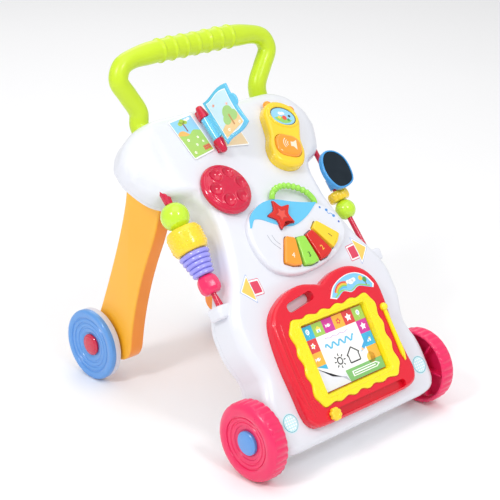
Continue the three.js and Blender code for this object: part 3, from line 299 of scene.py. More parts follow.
def tube(line, radii, sides=10, closed=False):
    """A round tube along a line, with its own radius at each point."""
    curve = bpy.data.curves.new("tube", "CURVE")
    curve.dimensions = "3D"
    curve.bevel_depth = 1
    curve.bevel_resolution = sides
    curve.use_fill_caps = True
    spline = curve.splines.new("POLY")
    spline.points.add(len(line) - 1)
    for point, place, radius in zip(spline.points, line, radii):
        point.co = (*Vector(place).to_3d(), 1)
        point.radius = radius
    spline.use_cyclic_u = closed
    bm = evaluated(holder_of(curve))
    bmesh.ops.remove_doubles(bm, verts=bm.verts, dist=1e-4)
    return bm


def subtract(bm, *cutters):
    """Cuts the other working meshes out of bm."""
    mesh = bpy.data.meshes.new("whole")
    bmesh.ops.recalc_face_normals(bm, faces=bm.faces)
    bm.to_mesh(mesh)
    bm.free()
    whole = holder_of(mesh)
    tools = []
    for cutter in cutters:
        shape = bpy.data.meshes.new("cutter")
        bmesh.ops.recalc_face_normals(cutter, faces=cutter.faces)
        cutter.to_mesh(shape)
        cutter.free()
        tools.append(holder_of(shape))
        step = whole.modifiers.new("cut", "BOOLEAN")
        step.operation = "DIFFERENCE"
        step.solver = "EXACT"
        step.object = tools[-1]
    left = evaluated(whole)
    for tool in tools:
        bpy.data.objects.remove(tool)
    return left


# %% [markdown]
# ## Finishes
# Shader maths reads best as ordinary expressions, so one small class wraps a socket and adds Math nodes
# when it meets +, -, * or /. A second class holds a material and adds any other node in one call. Whatever
# is the same all over a surface is set straight on the shader's own socket.

# %% Sockets as expressions
class Socket:
    def __init__(self, finish, out):
        self.finish = finish
        self.out = out

    def math(self, operation, first, second=0.0):
        return self.finish.node("Math", {"operation": operation}, {0: first, 1: second})

    def __add__(self, other):
        return self.math("ADD", self, other)

    def __sub__(self, other):
        return self.math("SUBTRACT", self, other)

    def __rsub__(self, other):
        return self.math("SUBTRACT", other, self)

    def __mul__(self, other):
        return self.math("MULTIPLY", self, other)

    def __truediv__(self, other):
        return self.math("DIVIDE", self, other)

    def __pow__(self, other):
        return self.math("POWER", self, other)

    def __gt__(self, other):
        return self.math("GREATER_THAN", self, other)

    __radd__ = __add__
    __rmul__ = __mul__


def ink(code):
    """A colour as people write it, #rrggbb, in the linear values that a shader takes."""
    parts = [int(code[k : k + 2], 16) / 255 for k in (1, 3, 5)]
    return tuple(p / 12.92 if p <= 0.04045 else ((p + 0.055) / 1.055) ** 2.4 for p in parts) + (1.0,)


class Finish:
    def __init__(self, name, **constants):
        self.material = bpy.data.materials.new(name)
        self.material.use_nodes = True
        self.nodes = self.material.node_tree.nodes
        self.links = self.material.node_tree.links
        self.shader = next(n for n in self.nodes if n.type == "BSDF_PRINCIPLED")
        for socket, value in constants.items():
            self.shader.inputs[socket.replace("_", " ")].default_value = value

    def node(self, kind, settings=None, inputs=None, output=0):
        node = self.nodes.new("ShaderNode" + kind)
        for key, value in (settings or {}).items():
            setattr(node, key, value)
        for key, value in (inputs or {}).items():
            self.plug(node.inputs[key], value)
        return Socket(self, node.outputs[output])

    def plug(self, socket, value):
        if isinstance(value, Socket):
            self.links.new(value.out, socket)
        else:
            socket.default_value = value

    def drive(self, socket, value):
        self.plug(self.shader.inputs[socket], value)

    def place(self):
        return self.node("TexCoord", output="Object")

    def noise(self, scale, detail=2.0, roughness=0.5):
        inputs = {"Vector": self.place(), "Scale": scale, "Detail": detail, "Roughness": roughness}
        return self.node("TexNoise", inputs=inputs)

    def mix(self, share, first, second):
        inputs = {"Factor": share, "A": first, "B": second}
        node = self.nodes.new("ShaderNodeMix")
        node.data_type = "RGBA"
        for key, value in inputs.items():
            wanted = [s for s in node.inputs if s.name == key and s.enabled]
            self.plug(wanted[0], value)
        return Socket(self, next(s for s in node.outputs if s.enabled))

    def bump(self, height, strength, distance):
        inputs = {"Strength": strength, "Distance": distance, "Height": height}
        return self.node("Bump", inputs=inputs)


def toned(code, factor):
    return tuple(min(part * factor, 1.0) for part in ink(code)[:3]) + (1.0,)


# %% [markdown]
# ## Moulded plastic
# Injection-moulded plastic is one pigment right through, but it is never quite even. The pigment drifts a
# little over a hand's width, the mould leaves a fine grain, and polished tools leave some patches glossier
# than others. Three noises at those three sizes feed the colour, the roughness and a very shallow bump.

# %% Plastics
DRIFT_SCALE, PATCH_SCALE, GRAIN_SCALE = 11.0, 55.0, 900.0  # features of about 90, 18 and 1 mm


def plastic(name, code, roughness=0.3, drift=0.07, grain=0.25, coat=0.3):
    finish = Finish(name, Coat_Roughness=0.12, IOR=1.5)
    broad = finish.noise(DRIFT_SCALE, 3)
    patch = finish.noise(PATCH_SCALE, 4)
    fine = finish.noise(GRAIN_SCALE, 2)
    finish.drive("Base Color", finish.mix(broad, toned(code, 1 - drift), toned(code, 1 + drift)))
    finish.drive("Roughness", roughness - 0.08 + patch * 0.12 + fine * 0.04)
    finish.drive("Coat Weight", coat * (0.8 + patch * 0.4))
    finish.drive("Normal", finish.bump(fine + patch * 2.0, grain, 0.00004))
    return finish.material


WHITE = plastic("white_case", "#e3e5ed", roughness=0.32, drift=0.012, coat=0.3)
LIME = plastic("lime_handle", "#c6e21f", roughness=0.36, coat=0.15)
LIME_BEAD = plastic("lime_bead", "#c3ec2c", roughness=0.16, coat=0.7)
PINK = plastic("pink_wheel", "#ee2462", roughness=0.3, coat=0.2)
BLUE = plastic("sky_blue_wheel", "#5c9be2", roughness=0.3, coat=0.35)
PALE = plastic("pale_tyre", "#dcdde9", roughness=0.6, coat=0.0, grain=0.5)
CRIMSON = plastic("crimson_gloss", "#cf063c", roughness=0.17, coat=0.4)
RED = plastic("red_board", "#e30c2c", roughness=0.25, coat=0.25)
STAR_RED = plastic("star_red", "#d81c0e", roughness=0.2, coat=0.35)
YELLOW = plastic("sunny_yellow", "#ffe70f", roughness=0.28, coat=0.4)
WARM_YELLOW = plastic("warm_yellow", "#ffd426", roughness=0.24, coat=0.5)
ORANGE = plastic("orange_gloss", "#ff9d1e", roughness=0.22, coat=0.6)
GREEN = plastic("apple_green", "#9be04a", roughness=0.25, coat=0.5)
SKY = plastic("sky_blue_gloss", "#62c4ee", roughness=0.2, coat=0.6)
LAVENDER = plastic("lavender_bead", "#9a98ee", roughness=0.25, coat=0.5)
BLACK = plastic("black_plastic", "#26262b", roughness=0.45, coat=0.0)
MIRROR_BLUE = plastic("mirror_blue", "#3f9be0", roughness=0.22, coat=0.5)

# %% [markdown]
# ## The legs' two tones
# The legs are amber. The narrow faces between their broad outer sides are painted a deeper orange as
# painted shade, standing in for the shading where light bounces from one side of the moulding to the
# other. Distance from the middle plane tells the two apart, because the broad sides are the farthest
# out.

# %% Amber legs
leg_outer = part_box("rear_leg_right")[1].x


def leg_finish_with_painted_shade():
    finish = Finish("amber_leg", Coat_Roughness=0.15, IOR=1.5)
    broad = finish.noise(DRIFT_SCALE, 3)
    fine = finish.noise(GRAIN_SCALE, 2)
    across = finish.node("SeparateXYZ", inputs={0: finish.place()}, output=0)
    out = finish.node("Math", {"operation": "ABSOLUTE"}, {0: across})
    edge = 0.004
    settings = {"interpolation_type": "SMOOTHSTEP"}
    inputs = {"Value": out, "From Min": leg_outer - edge, "From Max": leg_outer - edge * 0.2}
    # the mask is 0 on the narrow faces, which get the painted shade, and 1 on the broad amber sides
    side = finish.node("MapRange", settings, inputs)
    amber = finish.mix(broad, ink("#ffb01c"), ink("#ffbe2e"))
    # deep holds the painted shade: a darker orange put on the narrow faces in place of shading
    deep = finish.mix(broad, ink("#ff8c14"), ink("#ff9a1c"))
    finish.drive("Base Color", finish.mix(side, deep, amber))
    finish.drive("Roughness", 0.3 + broad * 0.1 + fine * 0.05)
    finish.drive("Coat Weight", 0.2 + broad * 0.2)
    finish.drive("Normal", finish.bump(fine, 0.25, 0.00004))
    return finish.material


AMBER = leg_finish_with_painted_shade()

# %% [markdown]
# ## Metal, mirror, circuit board and print
# Steel pins show fine turning marks, which run round them. The mirror is dark glass with a faint smear of
# fingerprints. The printed film takes its colour from an attribute, because each small printed shape
# carries its own ink, and a fine screen of dots breaks the ink up as real printing does.

# %% Other finishes
def steel_finish():
    finish = Finish("turned_steel", Metallic=1.0)
    rings = finish.noise(700, 2)
    finish.drive("Base Color", finish.mix(rings, ink("#a4a7ad"), ink("#c9ccd2")))
    finish.drive("Roughness", 0.24 + rings * 0.16)
    finish.drive("Normal", finish.bump(rings, 0.2, 0.00003))
    return finish.material


def mirror_finish():
    finish = Finish("dark_mirror", Metallic=1.0)
    smear = finish.noise(45, 5, 0.6)
    finish.drive("Base Color", finish.mix(smear, ink("#2a333c"), ink("#3d4852")))
    finish.drive("Roughness", 0.05 + smear * 0.12)
    return finish.material


def board_finish():
    finish = Finish("circuit_green")
    cells = {"Vector": finish.place(), "Scale": 260}
    tracks = finish.node("TexVoronoi", {"feature": "DISTANCE_TO_EDGE"}, cells)
    copper = tracks > 0.12
    finish.drive("Base Color", finish.mix(copper, ink("#3f9a5f"), ink("#17552f")))
    finish.drive("Roughness", 0.35 + copper * 0.15)
    return finish.material


def print_finish(name, coat):
    finish = Finish(name, Coat_Roughness=0.08)
    colour = finish.node("Attribute", {"attribute_name": "ink"}, output="Color")
    dots = finish.node("TexVoronoi", inputs={"Vector": finish.place(), "Scale": 1800})
    film = finish.noise(DRIFT_SCALE, 2)
    share = dots * 0.07
    finish.drive("Base Color", finish.mix(share, colour, ink("#ffffff")))
    finish.drive("Roughness", 0.26 + film * 0.12)
    finish.drive("Coat Weight", coat * (0.8 + film * 0.4))
    return finish.material


STEEL = steel_finish()
MIRROR = mirror_finish()
CIRCUIT = board_finish()
FILM = print_finish("printed_film", 0.25)
CARD = print_finish("printed_card", 0.1)

# %% [markdown]
# ## Printed shapes
# Stickers and pictures are thin shapes laid over each other, each a fiftieth of a millimetre or so above
# the last. Real prints are flat, but layers keep every edge crisp at any distance and need no image.

# %% A sheet of print
LAYER = 0.09


class Print:
    def __init__(self):
        self.bm = bmesh.new()
        self.colours = self.bm.loops.layers.float_color.new("ink")

    def stamp(self, outline, code, layer=1, base=0.0):
        """Adds one flat shape in one ink. A higher layer covers a lower one."""
        low, high = base - 0.3, base + LAYER * layer
        face = self.bm.faces.new([self.bm.verts.new((p[0], p[1], low)) for p in outline])
        grown = bmesh.ops.extrude_face_region(self.bm, geom=[face])["geom"]
        lifted = [g for g in grown if isinstance(g, bmesh.types.BMVert)]
        bmesh.ops.translate(self.bm, verts=lifted, vec=(0, 0, high - low))
        shape = {f for v in lifted for f in v.link_faces} | {face}
        for f in shape:
            for loop in f.loops:
                loop[self.colours] = ink(code)
        return self

    def picture(self, shapes, place=lambda outline: outline, base=0.0):
        """Stamps a list of (outline, ink, layer) after moving each outline."""
        for outline, code, layer in shapes:
            self.stamp(place(outline), code, layer, base)
        return self


def star(radius, inner, points=5, turn=90):
    angles = [math.radians(turn + 180 / points * k) for k in range(2 * points)]
    radii = [radius if k % 2 == 0 else inner for k in range(2 * points)]
    return [(r * math.cos(a), r * math.sin(a)) for r, a in zip(radii, angles)]


def band(x, y, radius, width, start, end, steps=16):
    """A bent strip: part of a ring."""
    outer = arc(x, y, radius + width / 2, start, end, steps)
    inner = arc(x, y, radius - width / 2, end, start, steps)
    return outer + inner


def strip(line, width):
    """A ribbon of even width along a line of points."""
    line = [Vector(p).to_2d() for p in line]
    left, right = [], []
    for k, p in enumerate(line):
        along = (line[min(k + 1, len(line) - 1)] - line[max(k - 1, 0)]).normalized()
        side = Vector((-along.y, along.x)) * width / 2
        left.append(p + side)
        right.append(p - side)
    return left + right[::-1]


def rounded_corners(points, share=0.3, steps=5):
    """Rounds every corner of a polygon, over a share of the sides that meet there."""
    points = [Vector(p).to_2d() for p in points]
    outline = []
    for k, corner in enumerate(points):
        before, after = points[k - 1], points[(k + 1) % len(points)]
        start = corner.lerp(before, share)
        outline += [start] + bezier(start, corner, corner.lerp(after, share), steps)
    return outline


def grown(outline, factor):
    """An outline scaled about its own middle, for a border."""
    middle = sum((Vector(p).to_2d() for p in outline), Vector((0, 0))) / len(outline)
    return [middle + (Vector(p).to_2d() - middle) * factor for p in outline]


# %% [markdown]
# ## Camera, floor and light
# The camera looks down a little from the front left with a long lens, so upright lines stay upright. The
# light is a plain studio: a bright pale surround, a large soft lamp either side of the camera, which gives
# every glossy bead its pair of highlights, and a broad one overhead.

# %% Camera
AZIMUTH, ELEVATION, ROLL = (math.radians(a) for a in (-44.05, 21.67, 0.9))
DISTANCE = 1.9128
AIM = Vector((-0.0076, -0.0087, 0.2116))


def look(azimuth, elevation, roll=0.0):
    """The camera's axes as a matrix, for a view from that side and height."""
    level = math.cos(elevation)
    back = Vector((math.sin(azimuth) * level, -math.cos(azimuth) * level, math.sin(elevation)))
    right = Vector((math.cos(azimuth), math.sin(azimuth), 0))
    turn = Matrix((right, back.cross(right), back)).transposed().to_4x4()
    return turn @ Matrix.Rotation(roll, 4, "Z")


camera = bpy.data.objects.new("camera", bpy.data.cameras.new("camera"))
bpy.context.scene.collection.objects.link(camera)
camera.data.lens = 104.9
camera.data.sensor_width = 36
camera.data.clip_end = 30
view = look(AZIMUTH, ELEVATION, ROLL)
camera.matrix_world = Matrix.Translation(AIM + view.col[2].to_3d() * DISTANCE) @ view
bpy.context.scene.camera = camera


# %% Floor and lights
def lamp(name, azimuth, elevation, distance, size, power):
    data = bpy.data.lights.new(name, "AREA")
    data.shape = "SQUARE"
    data.size = size
    data.energy = power
    light = bpy.data.objects.new(name, data)
    bpy.context.scene.collection.objects.link(light)
    turn = look(math.radians(azimuth), math.radians(elevation))
    light.matrix_world = Matrix.Translation(AIM + turn.col[2].to_3d() * distance) @ turn


lamp("lamp_left", -82, 42, 2.4, 0.42, 15)
lamp("lamp_right", -8, 46, 2.4, 0.42, 12)
lamp("lamp_above", -40, 84, 2.6, 2.2, 15)
lamp("lamp_behind", 150, 40, 2.8, 1.6, 11)

world = bpy.data.worlds.new("surround")
world.use_nodes = True
surround = world.node_tree.nodes["Background"]
surround.inputs["Color"].default_value = (1, 1, 1, 1)
surround.inputs["Strength"].default_value = 0.68
bpy.context.scene.world = world
bpy.context.scene.view_settings.view_transform = "Standard"

floor_mesh = bmesh.new()
bmesh.ops.create_grid(floor_mesh, x_segments=1, y_segments=1, size=6)
floor_data = bpy.data.meshes.new("floor")
floor_mesh.to_mesh(floor_data)
floor_mesh.free()
floor = holder_of(floor_data)
floor.name = "floor"
floor_finish = Finish("pale_floor")
cloud = floor_finish.noise(0.8, 2)
floor_finish.drive("Base Color", floor_finish.mix(cloud, (0.93, 0.93, 0.94, 1), (0.96, 0.96, 0.97, 1)))
floor_finish.drive("Roughness", 0.75 + cloud * 0.1)
floor_data.materials.append(floor_finish.material)

# %% [markdown]
# ## The body's front case
# The case is one moulding: a flat face that runs from broad feet through a narrow waist to two rounded
# shoulders. A few stations up the face give its half width and how its corners round off. Between them the
# sizes are eased without overshooting, a grid is laid over the result, and the sheet then gets a wall.

# %% Stations of the case
BODY_BOTTOM, BODY_TOP = 50, 512
SEAM_DEPTH, BODY_DEPTH, WALL, GAP = 42, 56, 2.5, 0.3
LOW, WAIST, WING = 143, 95, 164
STATIONS = [  # along the face, half width, set back, corner's size across and in depth
    (BODY_BOTTOM, LOW - 25, 12, 10, 8),
    (BODY_BOTTOM + 3, LOW - 13, 5, 14, 10),
    (BODY_BOTTOM + 10, LOW - 5, 1, 14, 14),
    (BODY_BOTTOM + 22, LOW - 1, 0, 14, 14),
    (105, LOW, 0, 14, 14),
    (122, LOW - 2, 0, 14, 14),
    (136, LOW - 7, 0, 14, 14),
    (150, LOW - 10, 0, 14, 14),
    (162, LOW - 8, 0, 14, 14),
    (178, LOW - 3, 0, 14, 14),
    (196, LOW, 0, 14, 14),
    (216, LOW, 0, 14, 14),
    (236, LOW - 5, 0, 14, 14),
    (FIRST_BEND, LOW - 14, 0, 14, 14),
    (276, WAIST + 22, 0, 14, 14),
    (300, WAIST + 13, 0, 14, 14),
    (330, WAIST + 4, 0, 14, 14),
    (352, WAIST, 0, 14, 14),
    (SECOND_BEND, WAIST, 0, 15, 15),
    (388, WAIST + 5, 0, 18, 17),
    (398, WAIST + 13, 0, 22, 20),
    (406, WING - 37, 0, 30, 25),
    (414, WING - 23, 0, 38, 28),
    (424, WING - 14, 0, 44, 31),
    (438, WING - 6, 0, 48, 32),
    (454, WING, 0, 50, 32),
    (470, WING, 0, 50, 32),
    (484, WING - 7, 0, 46, 30),
    (BODY_TOP - 17, WING - 17, 0, 40, 28),
    (BODY_TOP - 9, WING - 28, 2, 34, 24),
    (BODY_TOP - 3, WING - 41, 5, 28, 20),
    (BODY_TOP, WING - 54, 11, 20, 16),
]
ROW_PITCH = 3.0


def eased(k, item, share):
    """One size between stations k and k + 1, never outside the two."""
    def rise(at):
        return (STATIONS[at + 1][item] - STATIONS[at][item]) / (STATIONS[at + 1][0] - STATIONS[at][0])

    def slope(at):
        if at in (0, len(STATIONS) - 1):
            return rise(min(at, len(STATIONS) - 2))
        before, after = rise(at - 1), rise(at)
        return 0 if before * after <= 0 else 2 * before * after / (before + after)

    length = STATIONS[k + 1][0] - STATIONS[k][0]
    start, end = STATIONS[k][item], STATIONS[k + 1][item]
    return (
        start * (2 * share**3 - 3 * share**2 + 1) + slope(k) * length * (share**3 - 2 * share**2 + share)
        + end * (3 * share**2 - 2 * share**3) + slope(k + 1) * length * (share**3 - share**2)
    )


case_rows = [STATIONS[0]]
for k in range(len(STATIONS) - 1):
    length = STATIONS[k + 1][0] - STATIONS[k][0]
    steps = max(2, math.ceil(length / ROW_PITCH))
    for step in range(1, steps + 1):
        share = step / steps
        case_rows.append((STATIONS[k][0] + length * share, *(eased(k, i, share) for i in range(1, 5))))
print("the case has", len(case_rows), "rows")

# %% The shoulders' relief
FRONT_STEPS, CORNER_STEPS, SIDE_STEPS = 26, 16, 8


def bell(distance, width):
    return math.exp(-((distance / width) ** 2))


def relief(across, up):
    """How deep the face is pressed in: a soft valley down each shoulder, and fine ribs on its edge."""
    valley = 1.5 * bell(abs(across) - 121 + (up - 455) * 0.1, 6) * bell(up - 455, 34)
    on_edge = bell(abs(across) - 150, 12) * bell(up - 452, 20)
    ribs = 0.45 * on_edge * math.cos(2 * math.pi * up / 6.4)
    return valley + ribs


def half_section(row, back):
    """Half a section from the middle of the face round to the seam, as (across, depth) points."""
    up, half_width, set_back, across, deep = row
    flat = half_width - across
    points = [(flat * k / FRONT_STEPS, set_back) for k in range(FRONT_STEPS)]
    for k in range(CORNER_STEPS + 1):
        angle = math.pi / 2 * k / CORNER_STEPS
        points.append((flat + across * math.sin(angle), set_back + deep * (1 - math.cos(angle))))
    bottom = set_back + deep
    points += [(half_width, bottom + (back - bottom) * k / SIDE_STEPS) for k in range(1, SIDE_STEPS + 1)]
    return [(x, depth + relief(x, up) * (depth < set_back + deep * 0.9)) for x, depth in points]


# %% A case from its half sections
def case_sheet(half_sections, ups):
    """A sheet through mirrored half sections, with both ends closed."""
    columns = 2 * len(half_sections[0]) - 2

    def place(column, row):
        half = half_sections[row]
        k = column - columns // 2
        x, depth = half[abs(k)]
        return on_face(math.copysign(x, k) if k else 0, ups[row], -depth)

    bm = grid(columns, len(ups) - 1, place)
    bm.verts.ensure_lookup_table()
    for row in (0, len(ups) - 1):
        start = row * (columns + 1)
        bm.faces.new(bm.verts[start : start + columns + 1])
    bmesh.ops.recalc_face_normals(bm, faces=bm.faces)
    return bm


def facing(bm, direction):
    """Turns all faces over if most of their area looks against a direction."""
    if sum(f.calc_area() * f.normal.dot(direction) for f in bm.faces) < 0:
        bmesh.ops.reverse_faces(bm, faces=bm.faces)


def walled_case(half_sections, outward):
    ups = [row[0] for row in case_rows]
    bm = case_sheet(half_sections, ups)
    bm.normal_update()
    facing(bm, outward)
    bmesh.ops.solidify(bm, geom=bm.faces[:], thickness=WALL * MM)
    return bm


# %% [markdown]
# ## The handle
# The handle is one blow-moulded tube that rises from both shoulders, spreads, and closes over the top in a
# fatter, ribbed grip. A curve with its own radius at every point draws it in one go, and the same line,
# drawn a little fatter, cuts the sockets in the shoulders.

# %% The handle's line
HANDLE_FOOT, HANDLE_BULGE, HANDLE_HEIGHT, HANDLE_DEPTH = 106, 130, 92, 26
HANDLE_TILT = math.radians(10)
TUBE_R, GRIP_R, GRIP_HALF, RIB_PITCH, RIBS = 12.5, 14.6, 78, 20, 7
SOCKET = 45
handle_foot = on_face(HANDLE_FOOT, BODY_TOP + 3, -HANDLE_DEPTH) / MM


def handle_point(across, height):
    lean, rise = math.sin(HANDLE_TILT) * height, math.cos(HANDLE_TILT) * height
    return Vector((across, handle_foot.y + lean, handle_foot.z + rise))


right_half = [
    on_face(HANDLE_FOOT, BODY_TOP - SOCKET, -HANDLE_DEPTH) / MM,
    on_face(HANDLE_FOOT, BODY_TOP - SOCKET / 2, -HANDLE_DEPTH) / MM,
    handle_point(HANDLE_FOOT, 2),
    handle_point(HANDLE_FOOT - 1, HANDLE_HEIGHT * 0.22),
    handle_point((HANDLE_FOOT + HANDLE_BULGE) / 2, HANDLE_HEIGHT * 0.47),
    handle_point(HANDLE_BULGE, HANDLE_HEIGHT * 0.71),
    handle_point(HANDLE_BULGE - 11, HANDLE_HEIGHT * 0.91),
    handle_point(GRIP_HALF, HANDLE_HEIGHT * 0.99),
]
left_half = [Vector((-p.x, p.y, p.z)) for p in reversed(right_half)]
handle_line = curve_through(right_half + [handle_point(0, HANDLE_HEIGHT)] + left_half, 700)


def grip_radius(point):
    """The tube swells into the grip and carries a low rib at every pitch along it."""
    if point.z < handle_foot.z + HANDLE_HEIGHT * 0.75:
        return TUBE_R
    share = min(max((GRIP_HALF + 30 - abs(point.x)) / 34, 0), 1)
    swell = (GRIP_R - TUBE_R) * share * share * (3 - 2 * share)
    nearest = min(max(round(point.x / RIB_PITCH), -(RIBS // 2)), RIBS // 2) * RIB_PITCH
    return TUBE_R + swell + 1.9 * bell(point.x - nearest, 1.5)


handle = tube(handle_line, [grip_radius(p) for p in handle_line], sides=12)
into_metres = Matrix.Scale(MM, 4)
make_piece(handle, "carry_handle", "body", "lime_handle", LIME, ["handle"], into_metres, crease=60)

# %% The front case
LUG_LOW, LUG_HIGH, LUG_REACH = 236, 253, 148


def socket_cutter():
    cutter = tube(handle_line[:60], [TUBE_R + 0.6] * 60)
    gather(cutter, tube(handle_line[-60:], [TUBE_R + 0.6] * 60))
    bmesh.ops.transform(cutter, matrix=into_metres, verts=cutter.verts)
    return cutter


front_case = walled_case([half_section(row, SEAM_DEPTH) for row in case_rows], out_low)
front_case = subtract(front_case, socket_cutter())
for side in (-1, 1):
    lug = block(LUG_REACH - LOW + 20, LUG_HIGH - LUG_LOW, 26, side * (LUG_REACH + LOW - 20) / 2, 244.5, -23)
    bmesh.ops.bevel(
        lug, geom=lug.edges[:], offset=4, offset_type="OFFSET", segments=4, profile=0.5,
        affect="EDGES", material=-1,
    )
    bmesh.ops.transform(lug, matrix=LOWER, verts=lug.verts)
    gather(front_case, lug)
make_piece(front_case, "front_case", "body", "white_shell", WHITE, ["front_shell"], recalculate=False)

# %% [markdown]
# ## The rear case
# The rear half closes the case along a parting line. Its back is nearly flat, with a well for the battery
# box, a grille of five slots in front of the loudspeaker and a slot for the switch, all cut right through.

# %% The rear case's sections
REAR_CORNER = 11
TRAY_HALF, TRAY_HALF_UP, TRAY_UP = 28.5, 26, 200
SPEAKER_UP, SPEAKER_R, SLOT_PITCH, SWITCH_UP = 330, 20, 6, 128


def rear_half(row):
    _, half_width, _, across, _ = row
    corner = across * 0.7
    flat = half_width - corner
    points = [(flat * k / FRONT_STEPS, BODY_DEPTH) for k in range(FRONT_STEPS)]
    for k in range(CORNER_STEPS + 1):
        angle = math.pi / 2 * k / CORNER_STEPS
        points.append((flat + corner * math.sin(angle), BODY_DEPTH - REAR_CORNER * (1 - math.cos(angle))))
    side = BODY_DEPTH - REAR_CORNER
    seam = SEAM_DEPTH + GAP
    return points + [(half_width, side + (seam - side) * k / SIDE_STEPS) for k in range(1, SIDE_STEPS + 1)]


def in_place(bm, matrix):
    bmesh.ops.transform(bm, matrix=matrix, verts=bm.verts)
    return bm


cutters = [
    socket_cutter(),
    in_place(block(2 * TRAY_HALF + 0.6, 2 * TRAY_HALF_UP + 0.6, 24, 0, TRAY_UP, -BODY_DEPTH), LOWER),
    in_place(block(16, 7.2, 12, 0, SWITCH_UP, -BODY_DEPTH), LOWER),
]
for k in range(-2, 3):
    reach = math.sqrt(SPEAKER_R**2 - (k * SLOT_PITCH) ** 2) - 4
    slot_outline = rounded_box(-reach, -1.2, reach, 1.2, 1.1, 4)
    slot_cut = plate(moved(slot_outline, 0, SPEAKER_UP + k * SLOT_PITCH), -BODY_DEPTH - 6, -BODY_DEPTH + 6)
    cutters.append(in_place(slot_cut, MIDDLE))
rear_case = walled_case([rear_half(row) for row in case_rows], -out_low)
rear_case = subtract(rear_case, *cutters)
make_piece(rear_case, "rear_case", "body", "white_shell", WHITE, ["rear_shell"], recalculate=False)

# %% The battery cover and what the case holds
cover = plate(rounded_box(-33.5, 169, 33.5, 243, 5), 0, 2.4, edge=1.1)
for k in range(4):
    ridge = plate(rounded_box(-10, 228 + k * 2.6, 10, 229.2 + k * 2.6, 0.5, 3), 2.2, 2.39)
    gather(cover, ridge)
cover = subtract(cover, plate(disc(0, 235, 3.6), 1.4, 4))
behind = Matrix.Translation((0, 0, -BODY_DEPTH - GAP)) @ Matrix.Diagonal((1, 1, -1, 1))
make_piece(cover, "battery_lid", "body", "white_shell", WHITE, ["battery_cover"], LOWER @ behind)

plain_nodes = {
    "black": (BLACK, ["battery_box", "power_switch", "speaker"]),
    "circuit": (CIRCUIT, ["circuit_board"]),
    "steel": (STEEL, [
        "battery_1", "battery_2", "battery_3", "battery_cover_screw", "front_axle", "rear_axle_left",
        "rear_axle_right", "book_spine_pin",
    ]),
}
for finish, names in plain_nodes.values():
    for name in names:
        frame["nodes"][name].material_slots[0].material = finish

# %% [markdown]
# ## The rear legs
# Each leg is a bowed plate with well rounded edges, drawn from the side as a few bends, given its
# thickness, and cut off where it meets the back of the case.

# %% Legs
LEG_THICKNESS = 24
axle = Vector(JOINTS["rear_wheel_right_spin"]["pos_m"]) / MM
leg_front = on_face(0, 420, -BODY_DEPTH - GAP) / MM
leg_back = on_face(0, BODY_TOP - 12, -BODY_DEPTH - GAP) / MM


def leg_outline():
    """The leg from the side, as (y, z) points."""
    y, z = axle.y, axle.z
    bends = [
        ((leg_front.y + 8, leg_front.z - 40), (y - 108, z + 168)),
        ((y - 74, z + 92), (y - 64, z + 16)),
        ((y - 62, z - 13), (y - 36, z - 15)),
        ((y - 20, z - 15.6), (y - 8, z - 16)),
    ]
    outline = [Vector((leg_front.y, leg_front.z))]
    for middle, end in bends:
        outline += bezier(outline[-1], middle, end, 14)
    outline += [Vector(p) for p in arc(y, z, 16, -88, 21.6, 14)]
    for middle, end in (
        ((y + 4, z + 40), (y - 4, z + 58)),
        ((y - 52, z + 180), (y - 60, z + 230)),
        ((leg_back.y + 7, z + 262), (leg_back.y, leg_back.z)),
    ):
        outline += bezier(outline[-1], middle, end, 14)
    return outline


stand_across = Matrix(((0, 0, 1, 0), (1, 0, 0, 0), (0, 1, 0, 0), (0, 0, 0, 1)))
for word, side in (("left", -1), ("right", 1)):
    leg = plate(leg_outline(), -LEG_THICKNESS / 2, LEG_THICKNESS / 2, edge=4.5, segments=5, both=True)
    middle = side * (leg_outer / MM - LEG_THICKNESS / 2)
    in_place(leg, into_metres @ Matrix.Translation((middle, 0, 0)) @ stand_across)
    outside = UPPER @ Vector((0, 450, -BODY_DEPTH - GAP))
    whole = leg.verts[:] + leg.edges[:] + leg.faces[:]
    rim = bmesh.ops.bisect_plane(
        leg, geom=whole, dist=1e-6, plane_co=outside, plane_no=axis_of("dial_spin"), clear_outer=True,
    )["geom_cut"]
    bmesh.ops.holes_fill(leg, edges=[e for e in rim if isinstance(e, bmesh.types.BMEdge)])
    make_piece(leg, f"leg_{word}", "body", "orange_leg", AMBER, [f"rear_leg_{word}"])

# %% [markdown]
# ## Wheels
# A wheel is a lathe job. Profiles run from the bore outwards and give each point as a radius and a distance
# from the walker's middle plane. The front rims then get a tread by drawing in their edge round the rim,
# a wave at a time.

# %% Turning wheels
FRONT_R, FRONT_OUTER, FRONT_WIDTH, FRONT_CAP = 51, 170, 25, 15.5
REAR_R, REAR_OUTER, REAR_WIDTH, REAR_CAP = 50, 137, 17, 15
BORE = 4.4
LUGS = 32


def on_axle(joint, side):
    """Puts a turned shape on an axle, its height measured out from the middle plane."""
    spot = Vector(JOINTS[joint]["pos_m"])
    spot.x = 0
    lie = Matrix(((0, 0, side, 0), (0, 1, 0, 0), (-side, 0, 0, 0), (0, 0, 0, 1)))
    return Matrix.Translation(spot) @ into_metres @ lie


